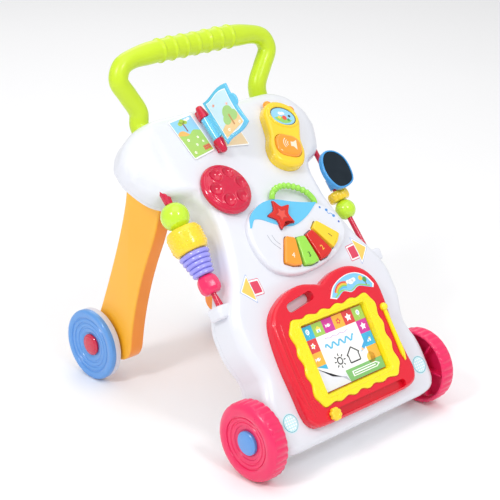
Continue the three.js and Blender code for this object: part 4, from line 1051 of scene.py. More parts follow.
def front_profile():
    R, out, inner = FRONT_R, FRONT_OUTER, FRONT_OUTER - FRONT_WIDTH
    shoulder = [
        (R - 11 + 11 * math.cos(a), out - 9 + 9 * math.sin(a))
        for a in (math.pi / 2 * k / 10 for k in range(11))
    ]
    return [
        (BORE, inner + 2), (8.4, inner + 2), (9, inner + 2.8), (9, out - 11.4), (R - 8, out - 11.4),
        (R - 6.4, out - 12.6), (R - 5, inner + 0.8), (R - 4.2, inner), (R - 2.6, inner), (R - 1, inner + 0.8),
        (R, inner + 2.6), *shoulder,
        (R - 15, out - 0.5), (R - 16.4, out - 1.3), (R - 17.0, out - 2.9), (R - 18.0, out - 3.0),
        (R - 18.8, out - 2.0), (R - 22, out - 2.4), (R - 23.0, out - 3.8), (R - 24.2, out - 3.9),
        (R - 25, out - 3.0), (R - 28.5, out - 3.4), (R - 29.6, out - 4.8), (FRONT_CAP + 2.6, out - 5.1),
        (FRONT_CAP + 1.2, out - 5.6), (FRONT_CAP + 0.8, out - 6), (BORE, out - 6), (BORE, inner + 2),
    ]


def rear_profile():
    R, out, inner = REAR_R, REAR_OUTER, REAR_OUTER - REAR_WIDTH
    shoulder = [
        (R - 4 + 4 * math.cos(a), out - 4 + 4 * math.sin(a))
        for a in (math.pi / 2 * k / 6 for k in range(7))
    ]
    return [
        (BORE, inner), (10, inner), (10, inner + 2), (R - 8, inner + 2), (R - 8, out - 8), (R - 0.6, out - 8),
        (R, out - 7.4), *shoulder,
        (R - 9, out - 0.2), (R - 10.2, out - 0.8), (R - 10.8, out - 2.0), (R - 12.4, out - 2.0),
        (R - 13.2, out - 1.1), (R - 16.6, out - 1.0), (R - 17.6, out - 2.4), (R - 19.2, out - 2.4),
        (R - 20.0, out - 1.7), (R - 23.4, out - 1.9), (R - 24.4, out - 3.2), (R - 26.2, out - 3.3),
        (R - 27, out - 2.7), (R - 30, out - 3.1), (REAR_CAP + 2.4, out - 4.4), (REAR_CAP + 1, out - 5),
        (BORE, out - 5), (BORE, inner),
    ]


def cap_profile(radius, out, back):
    dome = [(radius * 0.86 * math.cos(a), out - 1.6 + 1.6 * math.sin(a))
            for a in (math.pi / 2 * k / 6 for k in range(7))]
    return [(0, out - back), (radius, out - back), (radius, out - 2.6), (radius - 0.8, out - 1.7), *dome]


def cut_tread(bm, low, high):
    """Draws in the edge of the rim, wave after wave, between two distances along the axle."""
    for v in bm.verts:
        radius = math.hypot(v.co.x, v.co.y)
        if radius > FRONT_R - 2.5 and low < v.co.z < high:
            wave = 0.5 + 0.5 * math.cos(LUGS * math.atan2(v.co.y, v.co.x))
            v.co.xy *= 1 - 1.3 * wave**2 / radius


# %% Front and rear wheels
for word, side in (("left", -1), ("right", 1)):
    front = turned(front_profile(), 240)
    cut_tread(front, FRONT_OUTER - FRONT_WIDTH - 1, FRONT_OUTER - 6)
    joint, body = f"front_wheel_{word}_spin", f"front_wheel_{word}"
    place = on_axle(joint, side)
    for k in range(6):
        rib = block(2, 33, 12, 0, 26, FRONT_OUTER - 16)
        turn = Matrix.Rotation(k * math.pi / 3, 3, "Z")
        bmesh.ops.rotate(rib, verts=rib.verts, cent=(0, 0, 0), matrix=turn)
        gather(front, rib)
    make_piece(front, f"wheel_front_{word}", body, "pink_wheel", PINK, [f"front_wheel_{word}"], place)
    cap = turned(cap_profile(FRONT_CAP, FRONT_OUTER, 5.7))
    make_piece(cap, f"cap_front_{word}", body, "blue_wheel", BLUE, [f"front_hub_cap_{word}"], place)

    joint, body = f"rear_wheel_{word}_spin", f"rear_wheel_{word}"
    place = on_axle(joint, side)
    rear = turned(rear_profile(), 120)
    make_piece(rear, f"wheel_rear_{word}", body, "blue_wheel", BLUE, [f"rear_wheel_{word}"], place)
    inner, outer = REAR_OUTER - REAR_WIDTH, REAR_OUTER - 8.3
    tyre = turned([
        (REAR_R - 7.7, inner), (REAR_R - 2, inner), (REAR_R - 0.6, inner + 0.6), (REAR_R, inner + 2),
        (REAR_R, outer - 0.8), (REAR_R - 0.7, outer), (REAR_R - 7.7, outer), (REAR_R - 7.7, inner),
    ], 120)
    make_piece(tyre, f"tyre_{word}", body, "pale_tyre", PALE, [f"rear_tyre_{word}"], place)
    cap = turned(cap_profile(REAR_CAP, REAR_OUTER, 4.7))
    make_piece(cap, f"cap_rear_{word}", body, "crimson", CRIMSON, [f"rear_hub_cap_{word}"], place)

# %% [markdown]
# ## The drawing board
# The board lifts off by a slot in its upper left lobe. It is a puffy red plate: a generous rounded edge,
# long ridges down its left side, and recesses for the yellow frame, the eraser's track and the stylus.

# %% The red board
BOARD_TOP, TRACK_UP, TRACK_FLOOR = 14, 76.5, 7
board_line = curve_through([
    (-70, 68), (-92, 71), (-102, 84), (-104, 118), (-105, 158), (-101, 196), (-94, 214), (-80, 227),
    (-56, 238), (-30, 241), (-8, 236), (2, 233), (12, 237), (32, 243), (58, 243), (82, 232), (95, 213),
    (97, 190), (94, 150), (96, 110), (98, 88), (90, 73), (68, 68),
], 138, closed=True)


def along_up(across, out):
    """Lays a turned shape along the face, its height measured up it."""
    return Matrix(((1, 0, 0, across), (0, 0, 1, 0), (0, -1, 0, out), (0, 0, 0, 1)))


STYLUS_X, STYLUS_OUT, STYLUS_LOW, STYLUS_HIGH, STYLUS_END_R = 86, 15, 102, 176, 5.6


def stylus_profile(grow=0.0):
    low, high = STYLUS_LOW, STYLUS_HIGH
    tip = [(0, low - grow), (0.7 + grow, low - grow), (1.3 + grow, low + 0.6), (3.3 + grow, low + 10)]
    shaft = [(3.4 + grow, low + 14), (3.1 + grow, low + 40), (2.9 + grow, high - 18), (3.2 + grow, high - 12)]
    turns = [math.radians(d) for d in range(-60, 90, 10)]
    end = [(STYLUS_END_R * math.cos(a) + grow, high + STYLUS_END_R * math.sin(a)) for a in turns]
    return tip + shaft + end + [(0, high + STYLUS_END_R + grow)]


slot_line = moved(rounded_box(-3, -6.5, 46, 5.8, 5.8), -64, 218, 9)
ripples = 20


def evenly(outline, count):
    """The same closed outline with count points at equal distances."""
    points = [Vector(p).to_2d() for p in outline]
    lengths = [(points[(k + 1) % len(points)] - p).length for k, p in enumerate(points)]
    total, line, k, passed = sum(lengths), [], 0, 0.0
    for step in range(count):
        wanted = total * step / count
        while passed + lengths[k] < wanted:
            passed += lengths[k]
            k += 1
        line.append(points[k].lerp(points[(k + 1) % len(points)], (wanted - passed) / lengths[k]))
    return line


def rippled(x0, y0, x1, y1, corner, depth, grow=0.0):
    """A rounded rectangle whose edge ripples in and out."""
    middle = Vector(((x0 + x1) / 2, (y0 + y1) / 2))
    line = evenly(rounded_box(x0 - grow, y0 - grow, x1 + grow, y1 + grow, corner), ripples * 12)
    return [
        p + (p - middle).normalized() * depth * (math.cos(2 * math.pi * k / 12) - 1)
        for k, p in enumerate(line)
    ]


BEZEL = (-81, 88, 75, 203, 14, 1.7)
recess = plate(rippled(*BEZEL, grow=0.4), 8, 18)
track = plate(rounded_box(-70, TRACK_UP - 5.2, 72, TRACK_UP + 5.2, 5), TRACK_FLOOR, 18)
groove = in_place(turned(stylus_profile(0.4), 32), along_up(STYLUS_X, STYLUS_OUT))
above = block(12, 86, 6, STYLUS_X, 142, 18)
red_board = plate(board_line, GAP, BOARD_TOP, edge=5.5, segments=7)
red_board = subtract(red_board, plate(slot_line, -1, 18), recess, track, groove, above)
for shift, radius in ((-1, 4.8), (8.5, 3.4)):
    ridge_line = curve_through([
        (-95 + shift, 204, 12.4), (-97.5 + shift, 185, 12.8), (-98.5 + shift, 150, 12.8),
        (-96.5 + shift, 110, 12.8), (-91 + shift, 82, 12.4),
    ], 40)
    swell = [radius * math.sin(math.pi * (k + 0.6) / 40.2) ** 0.35 * 0.45 + radius * 0.3 for k in range(40)]
    gather(red_board, tube(ridge_line, swell, sides=6))
make_piece(red_board, "red_board", "drawing_board", "red", RED, ["drawing_board"], LOWER, crease=32)

# %% The yellow frame
window = plate(rounded_box(-58, 104, 53, 190, 1.5, 4), 5, 19)
for v in window.verts:
    if v.co.z > 10:
        v.co.x += math.copysign(3.2, v.co.x + 2.5)
        v.co.y += math.copysign(3.2, v.co.y - 147)
yellow_frame = subtract(plate(rippled(*BEZEL), 8.3, 16.5, edge=2.4, segments=5), window)
LIP_R, LIP_OUT = 1.3, 16.0
lip_line = [Vector((*p, LIP_OUT)) for p in evenly(rounded_box(-64, 98, 59, 196, 4), 160)]
lip = tube(lip_line, [LIP_R] * len(lip_line), 5, closed=True)
gather(yellow_frame, lip)
make_piece(yellow_frame, "yellow_frame", "drawing_board", "yellow", YELLOW, ["board_bezel"], LOWER)

# %% The stylus and the eraser's knob
stylus = turned(stylus_profile(), 32)
stylus_place = LOWER @ along_up(STYLUS_X, STYLUS_OUT)
make_piece(stylus, "yellow_stylus", "stylus", "yellow", YELLOW, ["stylus"], stylus_place)
KNOB_X, KNOB_R, KNOB_TOP = -62, 8.5, 20.4
knob_rim = [(KNOB_R - 2.2 + 2.2 * math.cos(a), KNOB_TOP - 2.4 + 2.4 * math.sin(a))
            for a in (math.pi / 2 * k / 5 for k in range(6))]
knob = turned([
    (0, TRACK_FLOOR + 0.3), (4.8, TRACK_FLOOR + 0.3), (4.8, 14.3), (KNOB_R - 0.6, 14.3), (KNOB_R, 14.9),
    *knob_rim, (3.6, KNOB_TOP - 0.1), (3.0, KNOB_TOP - 0.8), (0, KNOB_TOP - 1.0),
], 96)
for v in knob.verts:
    radius = math.hypot(v.co.x, v.co.y)
    if radius > 5 and v.co.z > 14:
        v.co.xy *= 1 - 1.1 * (0.5 + 0.5 * math.cos(8 * math.atan2(v.co.y, v.co.x))) ** 3 / radius
knob_place = LOWER @ Matrix.Translation((KNOB_X, TRACK_UP, 0))
make_piece(knob, "eraser_grip", "eraser_knob", "yellow", WARM_YELLOW, ["eraser_knob"], knob_place)

# %% [markdown]
# ## The card behind the window
# The card shows what the board is for: a row of coloured squares with small pictures round a white field,
# a crayon drawing, a green strip with a pencil, and a corner that curls up. All of it is stamped print.

# %% Small pictures for the squares
def leaf(x, y, length, width, turn):
    """A pointed oval."""
    half = [(length * (k / 8 - 0.5), width / 2 * math.sin(math.pi * k / 8)) for k in range(9)]
    return moved(half + [(a, -b) for a, b in half[-2:0:-1]], x, y, turn)


def flower(x, y, size, petals="#ffffff", heart="#ffd21f", layer=3):
    shapes = []
    for a in (2 * math.pi * k / 5 for k in range(5)):
        across, up = x + size * 0.5 * math.cos(a), y + size * 0.5 * math.sin(a)
        shapes.append((leaf(across, up, size, size * 0.62, math.degrees(a)), petals, layer))
    return shapes + [(disc(x, y, size * 0.32, 14), heart, layer + 1)]


def house(x, y, size):
    roof = [(x - size, y), (x + size, y), (x, y + size * 0.9)]
    return [
        (rounded_box(x - size * 0.7, y - size * 0.8, x + size * 0.7, y, 0.3, 2), "#ffffff", 3),
        (roof, "#ffe14a", 3),
        (rounded_box(x - size * 0.2, y - size * 0.8, x + size * 0.2, y - size * 0.2, 0.2, 2), "#5fb9e8", 4),
    ]


def fish(x, y, size):
    tail = [(x - size * 0.6, y), (x - size * 1.3, y + size * 0.6), (x - size * 1.3, y - size * 0.6)]
    return [
        (leaf(x, y, size * 2, size * 1.1, 0), "#ffffff", 3), (tail, "#ffffff", 3),
        (disc(x + size * 0.5, y + size * 0.1, size * 0.14, 8), "#333333", 4),
    ]


def balloon(x, y, size):
    string = [(x, y - size * 0.6), (x + size * 0.15, y - size * 0.9), (x, y - size * 1.2)]
    return [
        (disc(x, y + size * 0.3, size * 0.75, 20, 1.15), "#ffffff", 3),
        (band(x, y + size * 0.3, size * 0.3, size * 0.18, 30, 330, 10), "#4fb3e8", 4),
        (strip(string, 0.35), "#ffffff", 3),
    ]


def plain_star(x, y, size):
    return [(moved(rounded_corners(star(size, size * 0.5), 0.25, 3), x, y), "#ffffff", 3)]


# %% The card
CARD_X0, CARD_X1, CARD_Y0, CARD_Y1, CARD_TOP = -57.7, 52.7, 104.3, 189.7, 10.8
CARD_COLUMNS, SQUARE_UP = 6, 17.5
square_across = (CARD_X1 - CARD_X0) / CARD_COLUMNS


def square(column, row, code):
    """One coloured square, counted from the upper left."""
    x = CARD_X0 + column * square_across
    top = CARD_Y1 - row * SQUARE_UP
    low, right = top - SQUARE_UP, x + square_across
    return [(x, low), (right, low), (right, top), (x, top)], code, 2


def square_middle(column, row):
    return CARD_X0 + (column + 0.5) * square_across, CARD_Y1 - (row + 0.5) * SQUARE_UP


CYAN, GRASS, MAGENTA = "#22b5df", "#a3cf4e", "#d3189c"
SUN, BRICK, LEAF_GREEN = "#fbb829", "#e02a2e", "#7cc06a"
squares = [
    square(0, 0, CYAN), square(1, 0, GRASS), square(2, 0, MAGENTA), square(3, 0, SUN), square(4, 0, BRICK),
    square(5, 0, GRASS), square(0, 1, BRICK), square(0, 2, SUN), square(5, 1, MAGENTA), square(5, 2, CYAN),
    square(0, 3, CYAN), square(5, 3, SUN),
]
pictures = (
    balloon(*square_middle(0, 0), 4.2) + house(*square_middle(1, 0), 5) + fish(*square_middle(2, 0), 4)
    + flower(*square_middle(3, 0), 4.4, "#e8402a") + plain_star(*square_middle(4, 0), 6)
    + balloon(*square_middle(5, 0), 4.2) + flower(*square_middle(0, 1), 4.2) + fish(*square_middle(0, 2), 4)
    + plain_star(*square_middle(5, 1), 5.5) + house(*square_middle(5, 2), 4.5)
)
ground = [(rounded_box(CARD_X0, CARD_Y0, CARD_X1, CARD_Y1, 0.8, 3), "#fdfdfb", 1)]
waves = [
    (strip([(-30 + k * 2, 156 + 3.4 * math.sin(k * 1.05)) for k in range(27)], 2.6), "#55bfe6", 3),
    (strip([(-26 + k * 2, 166 + 0.8 * math.sin(k)) for k in range(22)], 0.7), "#c9a0d8", 3),
]
DRAWN_SUN = Vector((-16, 134))
rays = [Vector((math.cos(a), math.sin(a))) for a in (2 * math.pi * k / 8 for k in range(8))]
drawn_house = [(0, 126), (0, 136), (-2, 136), (9, 145), (20, 136), (18, 136), (18, 126), (0, 126)]
doodle = [(band(*DRAWN_SUN, 4.2, 1.7, 0, 358, 30), "#16161a", 3)]
doodle += [(strip([DRAWN_SUN + ray * 6.4, DRAWN_SUN + ray * 9.8], 1.5), "#16161a", 3) for ray in rays]
doodle += [
    (strip([start, end], 1.7), "#16161a", 3 + k / 10)
    for k, (start, end) in enumerate(zip(drawn_house, drawn_house[1:]))
]
crayon = [
    (moved([(-12, -2.4), (12, -2.4), (12, 2.4), (-12, 2.4)], 38, 145, 38), "#2aa8e0", 4),
    (moved([(-18, 0), (-12, -2.4), (-12, 2.4)], 38, 145, 38), "#f6c9a0", 4),
    (moved([(-18, 0), (-16, -0.8), (-16, 0.8)], 38, 145, 38), "#2aa8e0", 5),
]
low_strip = [
    ([(-14, CARD_Y0), (CARD_X1, CARD_Y0), (CARD_X1, 120), (-14, 120)], LEAF_GREEN, 2),
    ([(-4, 109), (40, 109), (46, 112.4), (40, 116), (-4, 116)], "#ffffff", 3),
    ([(-2, 110.2), (39, 110.2), (43.4, 112.4), (39, 114.8), (-2, 114.8)], LEAF_GREEN, 4),
    (strip([(-1, 112.5), (38, 112.5)], 1.6), "#ffffff", 5),
    (disc(36, 123, 7, 24), "#ffc928", 2),
]
curl = [
    ([(CARD_X0, CARD_Y0), (-12, CARD_Y0), (-14, 118), (-34, 128), (CARD_X0, 138)], "#e9ebf2", 4),
    ([(CARD_X0, 138), (-34, 128), (-14, 118), (-20, 116), (-40, 122)], "#ffffff", 5),
    ([(CARD_X0, 136), (-40, 122), (-22, 114), (-12, 105), (-16, 113), (-38, 120)], "#b9bdc9", 6),
]
card = Print().picture(
    ground + squares + pictures + waves + doodle + crayon + low_strip + curl, base=CARD_TOP - 0.5
)
make_piece(card.bm, "drawing_card", "drawing_board", "printed", CARD, ["board_screen"], LOWER, crease=20)

# %% The sticker on the board's right lobe
sticker_line = curve_through([(6, 211), (18, 224), (40, 232), (62, 231.5), (79, 222), (87, 209)], 40)
sticker_line += curve_through([(84, 204.5), (74, 208.5), (60, 213), (45, 209), (32, 213.5), (16, 207)], 36)
sky_line = grown(sticker_line, 0.93)
rainbow = [
    (band(34, 206, 19 - 2.2 * k, 2.2, 62, 150, 12), code, 3)
    for k, code in enumerate(("#e8402a", "#fbb829", "#8ccf3f", "#4fb3e8"))
]
hills = [
    (curve_through([(14, 210), (30, 216), (44, 211.5), (60, 215.5), (80, 209)], 24)
     + curve_through([(78, 208), (60, 214), (45, 210.5), (32, 214.2), (16, 209)], 24), "#8ed14a", 4),
]
clouds = [(disc(x, y, r, 18, 0.7), "#ffffff", 5) for x, y, r in ((50, 222, 5), (55, 223, 4), (45, 223, 3.4))]
sun_and_tree = [
    (disc(68, 222, 3.4, 20), "#ffc928", 4), (strip([(74, 211), (74, 217)], 1.2), "#8a5a2c", 5),
    (disc(74, 218.5, 3.4, 18), "#3f9a3f", 6),
]
lobe_print = Print().picture(
    [(sticker_line, "#f6f8fb", 1), (sky_line, "#7cc9f0", 2)] + rainbow + hills + clouds + sun_and_tree,
    base=BOARD_TOP,
)
make_piece(lobe_print.bm, "lobe_sticker", "drawing_board", "printed", FILM, (), LOWER, crease=20)

# %% [markdown]
# ## The little piano
# The middle of the face carries a soft white pod. A glossy blue wave fills its upper part, and a star
# button stands on the wave. Below, four keys spread like a fan. A ribbed green bail crosses the top.

# %% The pod
POD_TOP = 8
FAN_X, FAN_UP, FAN_IN, FAN_OUT, FAN_FIRST, FAN_PITCH, FAN_HALF = 9, 345.4, 48, 86, -23, 20, 8.6
KEY_LOW, KEY_HIGH, WELL_FLOOR = 5.4, 13, 2.2
STAR_X, STAR_UP, STAR_LOW, STAR_HIGH = -5, 333, 5.2, 12
pod_line = curve_through([
    (-64, 325), (-55, 341), (-30, 355), (-2, 357), (30, 346), (60, 337), (79, 325), (90, 305),
    (88, 286), (72, 271), (45, 259), (8, 253), (-28, 255), (-54, 269), (-66, 296),
], 120, closed=True)


def key_outline(angle, grow=0.0, rounding=0.16):
    half = FAN_HALF + math.degrees(grow / ((FAN_IN + FAN_OUT) / 2))

    def at(radius, degrees):
        turn = math.radians(degrees)
        return FAN_X + radius * math.sin(turn), FAN_UP - radius * math.cos(turn)

    near, far = FAN_IN - grow, FAN_OUT + grow
    corners = [at(near, angle - half), at(far, angle - half), at(far * 1.012, angle), at(far, angle + half),
               at(near, angle + half)]
    return rounded_corners(corners, rounding, 6)


def star_outline(grow=0.0, rounding=0.26):
    return moved(rounded_corners(star(22.5 + grow, 10.8 + grow * 0.8, turn=98), rounding, 6), STAR_X, STAR_UP)


key_angles = [FAN_FIRST + FAN_PITCH * k for k in range(4)]
pod = subtract(
    plate(pod_line, GAP, POD_TOP, edge=4.5, segments=6),
    *(plate(key_outline(angle, 1.2), WELL_FLOOR, 12) for angle in key_angles),
    plate(star_outline(1.2), WELL_FLOOR, 12),
)
make_piece(pod, "pod", "body", "white_shell", WHITE, ["piano_pod"], MIDDLE)

wave_line = curve_through([
    (-60, 329), (-53, 341.5), (-42, 349.5), (-27, 355), (-12, 356.4), (2, 354), (20, 347), (40, 340.5),
    (62, 335),
], 60)
wave_line += curve_through([
    (55, 331), (43, 324.5), (31, 319.5), (16, 315.5), (4, 315), (-12, 320), (-26, 328), (-38, 335.5),
    (-48, 337.5), (-58, 328),
], 60)
wave = subtract(plate(evenly(wave_line, 150), 3, POD_TOP + 0.7), plate(star_outline(1.2), 2, 12))
make_piece(wave, "blue_wave", "body", "sky_blue", SKY, (), MIDDLE)

# %% Keys with their numbers
def glyph(character, size, turn, across, up, low, thickness=0.22):
    """A number as a thin solid, made from a text curve."""
    text = bpy.data.curves.new("number", "FONT")
    text.body = character
    text.size = size
    text.extrude = thickness / 2
    text.align_x, text.align_y = "CENTER", "CENTER"
    bm = evaluated(holder_of(text))
    bmesh.ops.remove_doubles(bm, verts=bm.verts, dist=1e-4)
    spin = Matrix.Rotation(math.radians(turn), 4, "Z")
    return in_place(bm, Matrix.Translation((across, up, low + thickness / 2)) @ spin)


KEYS = (
    ("orange", ORANGE, "4", "#fff4e0"), ("green", GREEN, "3", "#2d4a1e"),
    ("red", STAR_RED, "2", "#ffd84a"), ("yellow", WARM_YELLOW, "1", "#5a4a14"),
)
for (word, finish, number, colour), angle in zip(KEYS, key_angles):
    key = plate(key_outline(angle), KEY_LOW, KEY_HIGH, edge=2.4, segments=6)
    make_piece(key, f"piano_key_{word}", f"key_{word}", word, finish, [f"key_{word}"], MIDDLE)
    turn, radius = math.radians(angle), FAN_OUT - 12
    spot = FAN_X + radius * math.sin(turn), FAN_UP - radius * math.cos(turn)
    digit = glyph(number, 10, angle, *spot, KEY_HIGH - 0.05)
    paint = plastic(f"number_{word}", colour, roughness=0.4, coat=0.1)
    make_piece(digit, f"number_on_{word}_key", f"key_{word}", "printed", paint, (), MIDDLE)

# %% The star
star_piece = plate(star_outline(), STAR_LOW, STAR_HIGH, edge=2.6, segments=7)
make_piece(star_piece, "star", "star_button", "red", STAR_RED, ["star_button"], MIDDLE)
outline_print = Print()
for layer, (outer, inner, code) in enumerate(((10.5, 5, "#b3120a"), (8.8, 4.2, "#e8402c")), 1):
    small_star = moved(rounded_corners(star(outer, inner, turn=98), 0.26, 6), STAR_X, STAR_UP)
    outline_print.stamp(small_star, code, layer, STAR_HIGH)
make_piece(outline_print.bm, "star_outline", "star_button", "printed", FILM, (), MIDDLE, crease=20)
border = Print()
border.stamp(star_outline(3.6, 0.3), "#a9dcf4", 1, POD_TOP + 0.7)
border.stamp(star_outline(2.4, 0.3), "#1f3f66", 2, POD_TOP + 0.7)
rim = subtract(border.bm, plate(star_outline(1.2), 2, 12))
make_piece(rim, "star_border", "body", "printed", FILM, (), MIDDLE, crease=20)

# %% The ribbed bail
bail_line = curve_through([
    (-2, 357.5, 5), (1, 364, 8), (10, 368.6, 9), (24, 368.4, 9.4), (40, 362.5, 9), (54, 353, 8), (62, 342, 6),
    (63.5, 335, 4),
], 150)
BAIL_R, BAIL_RIBS = 3.7, 9


def bail_radius(k):
    share = k / 149
    ribbed = 0.16 < share < 0.74
    return BAIL_R + (0.75 * math.cos(2 * math.pi * BAIL_RIBS * (share - 0.16) / 0.58) if ribbed else 0.1)


bail = tube(bail_line, [bail_radius(k) for k in range(150)], sides=8)
make_piece(bail, "green_bail", "body", "green", GREEN, ["piano_handle"], MIDDLE, crease=60)

# %% Stickers on the middle of the face
def arrow(side):
    """A yellow head with a crimson tail, each in a white and a coloured border."""
    head = [(side * 96, 273.5), (side * 112.5, 258), (side * 96.5, 242.5)]
    tail = [(side * 82, 265), (side * 94.5, 266), (side * 94.5, 250), (side * 82, 249.5)]
    head, tail = rounded_corners(head, 0.07), rounded_corners(tail, 0.08)
    return [
        (grown(tail, 1.4), "#d8436a", 1), (grown(tail, 1.28), "#ffffff", 2), (grown(head, 1.3), "#a9bfe4", 3),
        (grown(head, 1.2), "#ffffff", 4), (tail, "#dd2350", 5), (head, "#f6cb55", 6),
    ]


def headlight(side):
    across, up = side * 120, 88
    dots = [
        (disc(across + a * 3.6, up + b * 3.6, 1.1, 8), "#ffffff", 4)
        for a in range(-2, 3) for b in range(-2, 3) if a * a + b * b < 6
    ]
    return [
        (disc(across, up, 12.2), "#c4eef4", 1), (disc(across, up, 11.2), "#3f9fb5", 2),
        (disc(across, up, 10.5), "#c9f0f6", 3),
    ] + dots


notes = [
    (disc(64, 327, 1.6, 14), "#2f7fd0", 1), (disc(72.5, 321, 2.4, 18, 0.8), "#2f8fe0", 1),
    (disc(79.5, 310.5, 2.4, 18, 0.8), "#2f8fe0", 1), (disc(83, 301, 1.6, 14), "#2f5fc0", 1),
    (strip(curve_through([(72.5, 321), (73, 315.5), (77, 315), (79.5, 310.5)], 16), 0.9), "#2f8fe0", 1),
]
face_print = Print().picture(arrow(-1) + arrow(1) + headlight(-1) + headlight(1))
make_piece(bend_to_face(face_print.bm), "face_stickers", "body", "printed", FILM, crease=20)
ticks = [
    (strip(curve_through([(-40, 314), (-37.6, 302.6), (-29.5, 290.8)], 20), 0.7), "#9aa0ad", 1),
    (strip(curve_through([(-33, 312), (-31.4, 303.7), (-27, 297)], 16), 0.7), "#9aa0ad", 1),
]
pod_print = Print().picture(ticks + notes, base=POD_TOP)
make_piece(pod_print.bm, "pod_lines", "body", "printed", FILM, (), MIDDLE, crease=20)

# %% [markdown]
# ## The dial
# The crimson dial is a shallow dome with six dished cups, each inside a raised ring. A lathe gives the
# dome with many fine rings, and the cups are then pressed into it by moving points up and down.

# %% Dial
DIAL_X, DIAL_UP, DIAL_TOP = -61, 388, 13
CUP_RING, CUP_R = 21, 8.4
dome = curve_through([
    (0, DIAL_TOP), (9, 12.85), (18, 12.3), (26, 11.2), (31.5, 9.4), (34.8, 6.6), (35.9, 3.6), (35.2, 1.0),
    (34.4, GAP),
], 64)
dial = turned([(0, GAP)] + [(p.x, p.y) for p in reversed(dome)][:-1] + [(0, DIAL_TOP)], 180)
cup_spots = [
    (CUP_RING * math.cos(math.radians(60 * k)), CUP_RING * math.sin(math.radians(60 * k))) for k in range(6)
]
for v in dial.verts:
    if v.co.z < 5:
        continue
    v.co.z -= 0.9 * bell(math.hypot(v.co.x, v.co.y) - 31, 1.0) - 0.5 * bell(math.hypot(v.co.x, v.co.y), 2.2)
    for across, up in cup_spots:
        away = math.hypot(v.co.x - across, v.co.y - up)
        v.co.z += 0.8 * bell(away - CUP_R - 0.9, 0.9)
        if away < CUP_R:
            v.co.z -= 4.4 * (1 - (away / CUP_R) ** 2) ** 0.8
dial_place = UPPER @ Matrix.Translation((DIAL_X, DIAL_UP, 0))
make_piece(dial, "red_dial", "dial", "crimson", CRIMSON, ["dial"], dial_place, crease=70)

# %% [markdown]
# ## The picture book
# Two leaves lie printed on the face. A page with a wavy sky-blue frame stands open between them and turns
# on a pin inside the spine. The spine's two ends are crimson and taper; its middle is part of the page.

# %% Pictures for the leaves
LEAF_ACROSS, LEAF_UP = 42, 60


def onto(corners):
    """Fits outlines drawn on a 42 by 60 leaf into a shape with these four corners."""
    a, b, c, d = (Vector(p) for p in corners)

    def place(outline):
        fitted = []
        for p in outline:
            u, v = p[0] / LEAF_ACROSS, p[1] / LEAF_UP
            fitted.append(a * (1 - u) * (1 - v) + b * u * (1 - v) + c * u * v + d * (1 - u) * v)
        return fitted

    return place


def tree(x, y, size, crown="#a9c83a"):
    crowns = [(disc(x + dx * size, y + dy * size, size * r, 18, 0.8), crown, 3)
              for dx, dy, r in ((-0.7, 1.6, 0.65), (0.1, 2.0, 0.75), (0.8, 1.6, 0.6))]
    return crowns + [(strip([(x, y - size * 0.6), (x, y + size * 1.5)], size * 0.28), "#8a3b2a", 4)]


def fence(x, y):
    rails = [(strip([(x, y + k), (x + 12, y + k)], 1.0), "#d03a2a", 4) for k in (2.0, 5.0)]
    posts = [(strip([(x + 1 + 2.6 * k, y), (x + 1 + 2.6 * k, y + 7)], 1.5), "#e0402c", 5) for k in range(5)]
    return rails + posts


def meadow(sky, grass, sand):
    edge = [(0, 0), (LEAF_ACROSS, 0), (LEAF_ACROSS, LEAF_UP), (0, LEAF_UP)]
    hill = [(0, 0), (LEAF_ACROSS, 0)] + curve_through([(42, 34), (30, 38), (16, 33), (0, 37)], 20)
    far = [(0, 30)] + curve_through([(22, 32), (14, 41), (6, 42), (0, 39)], 16)
    return [
        (moved(rounded_box(0, 0, LEAF_ACROSS, LEAF_UP, 2.2, 5)), "#ffffff", 0.6), (grown(edge, 0.94), sky, 1),
        (grown(hill, 0.94), grass, 2), (grown(far, 0.9), sand, 1.6),
        (disc(28, 54, 3.6, 18, 0.6), "#ffffff", 2.4), (disc(33, 55, 3, 18, 0.6), "#ffffff", 2.5),
    ]


left_leaf = (
    meadow("#8fcff0", "#a8d05a", "#f0b452") + tree(20, 42, 6) + fence(27, 5)
    + flower(11, 27, 2.6) + flower(29, 26, 2.2) + flower(9, 8, 2.4)
    + flower(20, 17, 2.2) + flower(33, 18, 2.0)
)
right_leaf = meadow("#f3dfc4", "#ecd0a4", "#e4bb82") + tree(26, 30, 5, "#bcd27a") + flower(12, 12, 2.4)
BOOK_LOW, BOOK_HIGH, SPINE_X, SPINE_OUT = 436, 507, -33, 9
leaves = Print()
leaves.picture(left_leaf, onto([(-77, 439.5), (-39.5, 446), (-43.5, 504), (-84, 499.5)]), 1.2)
make_piece(leaves.bm, "leaf_left", "body", "printed", FILM, ["book_leaf_left"], UPPER, crease=20)
leaves = Print()
leaves.picture(right_leaf, onto([(-24, 446), (18, 440), (17, 500), (-24, 504)]), 1.2)
make_piece(leaves.bm, "leaf_right", "body", "printed", FILM, ["book_leaf_right"], UPPER, crease=20)

# %% The spine
BARREL_R, SPINE_CAP_R, SPINE_CAP, PIN_HOLE = 6, 7.5, 19, 1.9


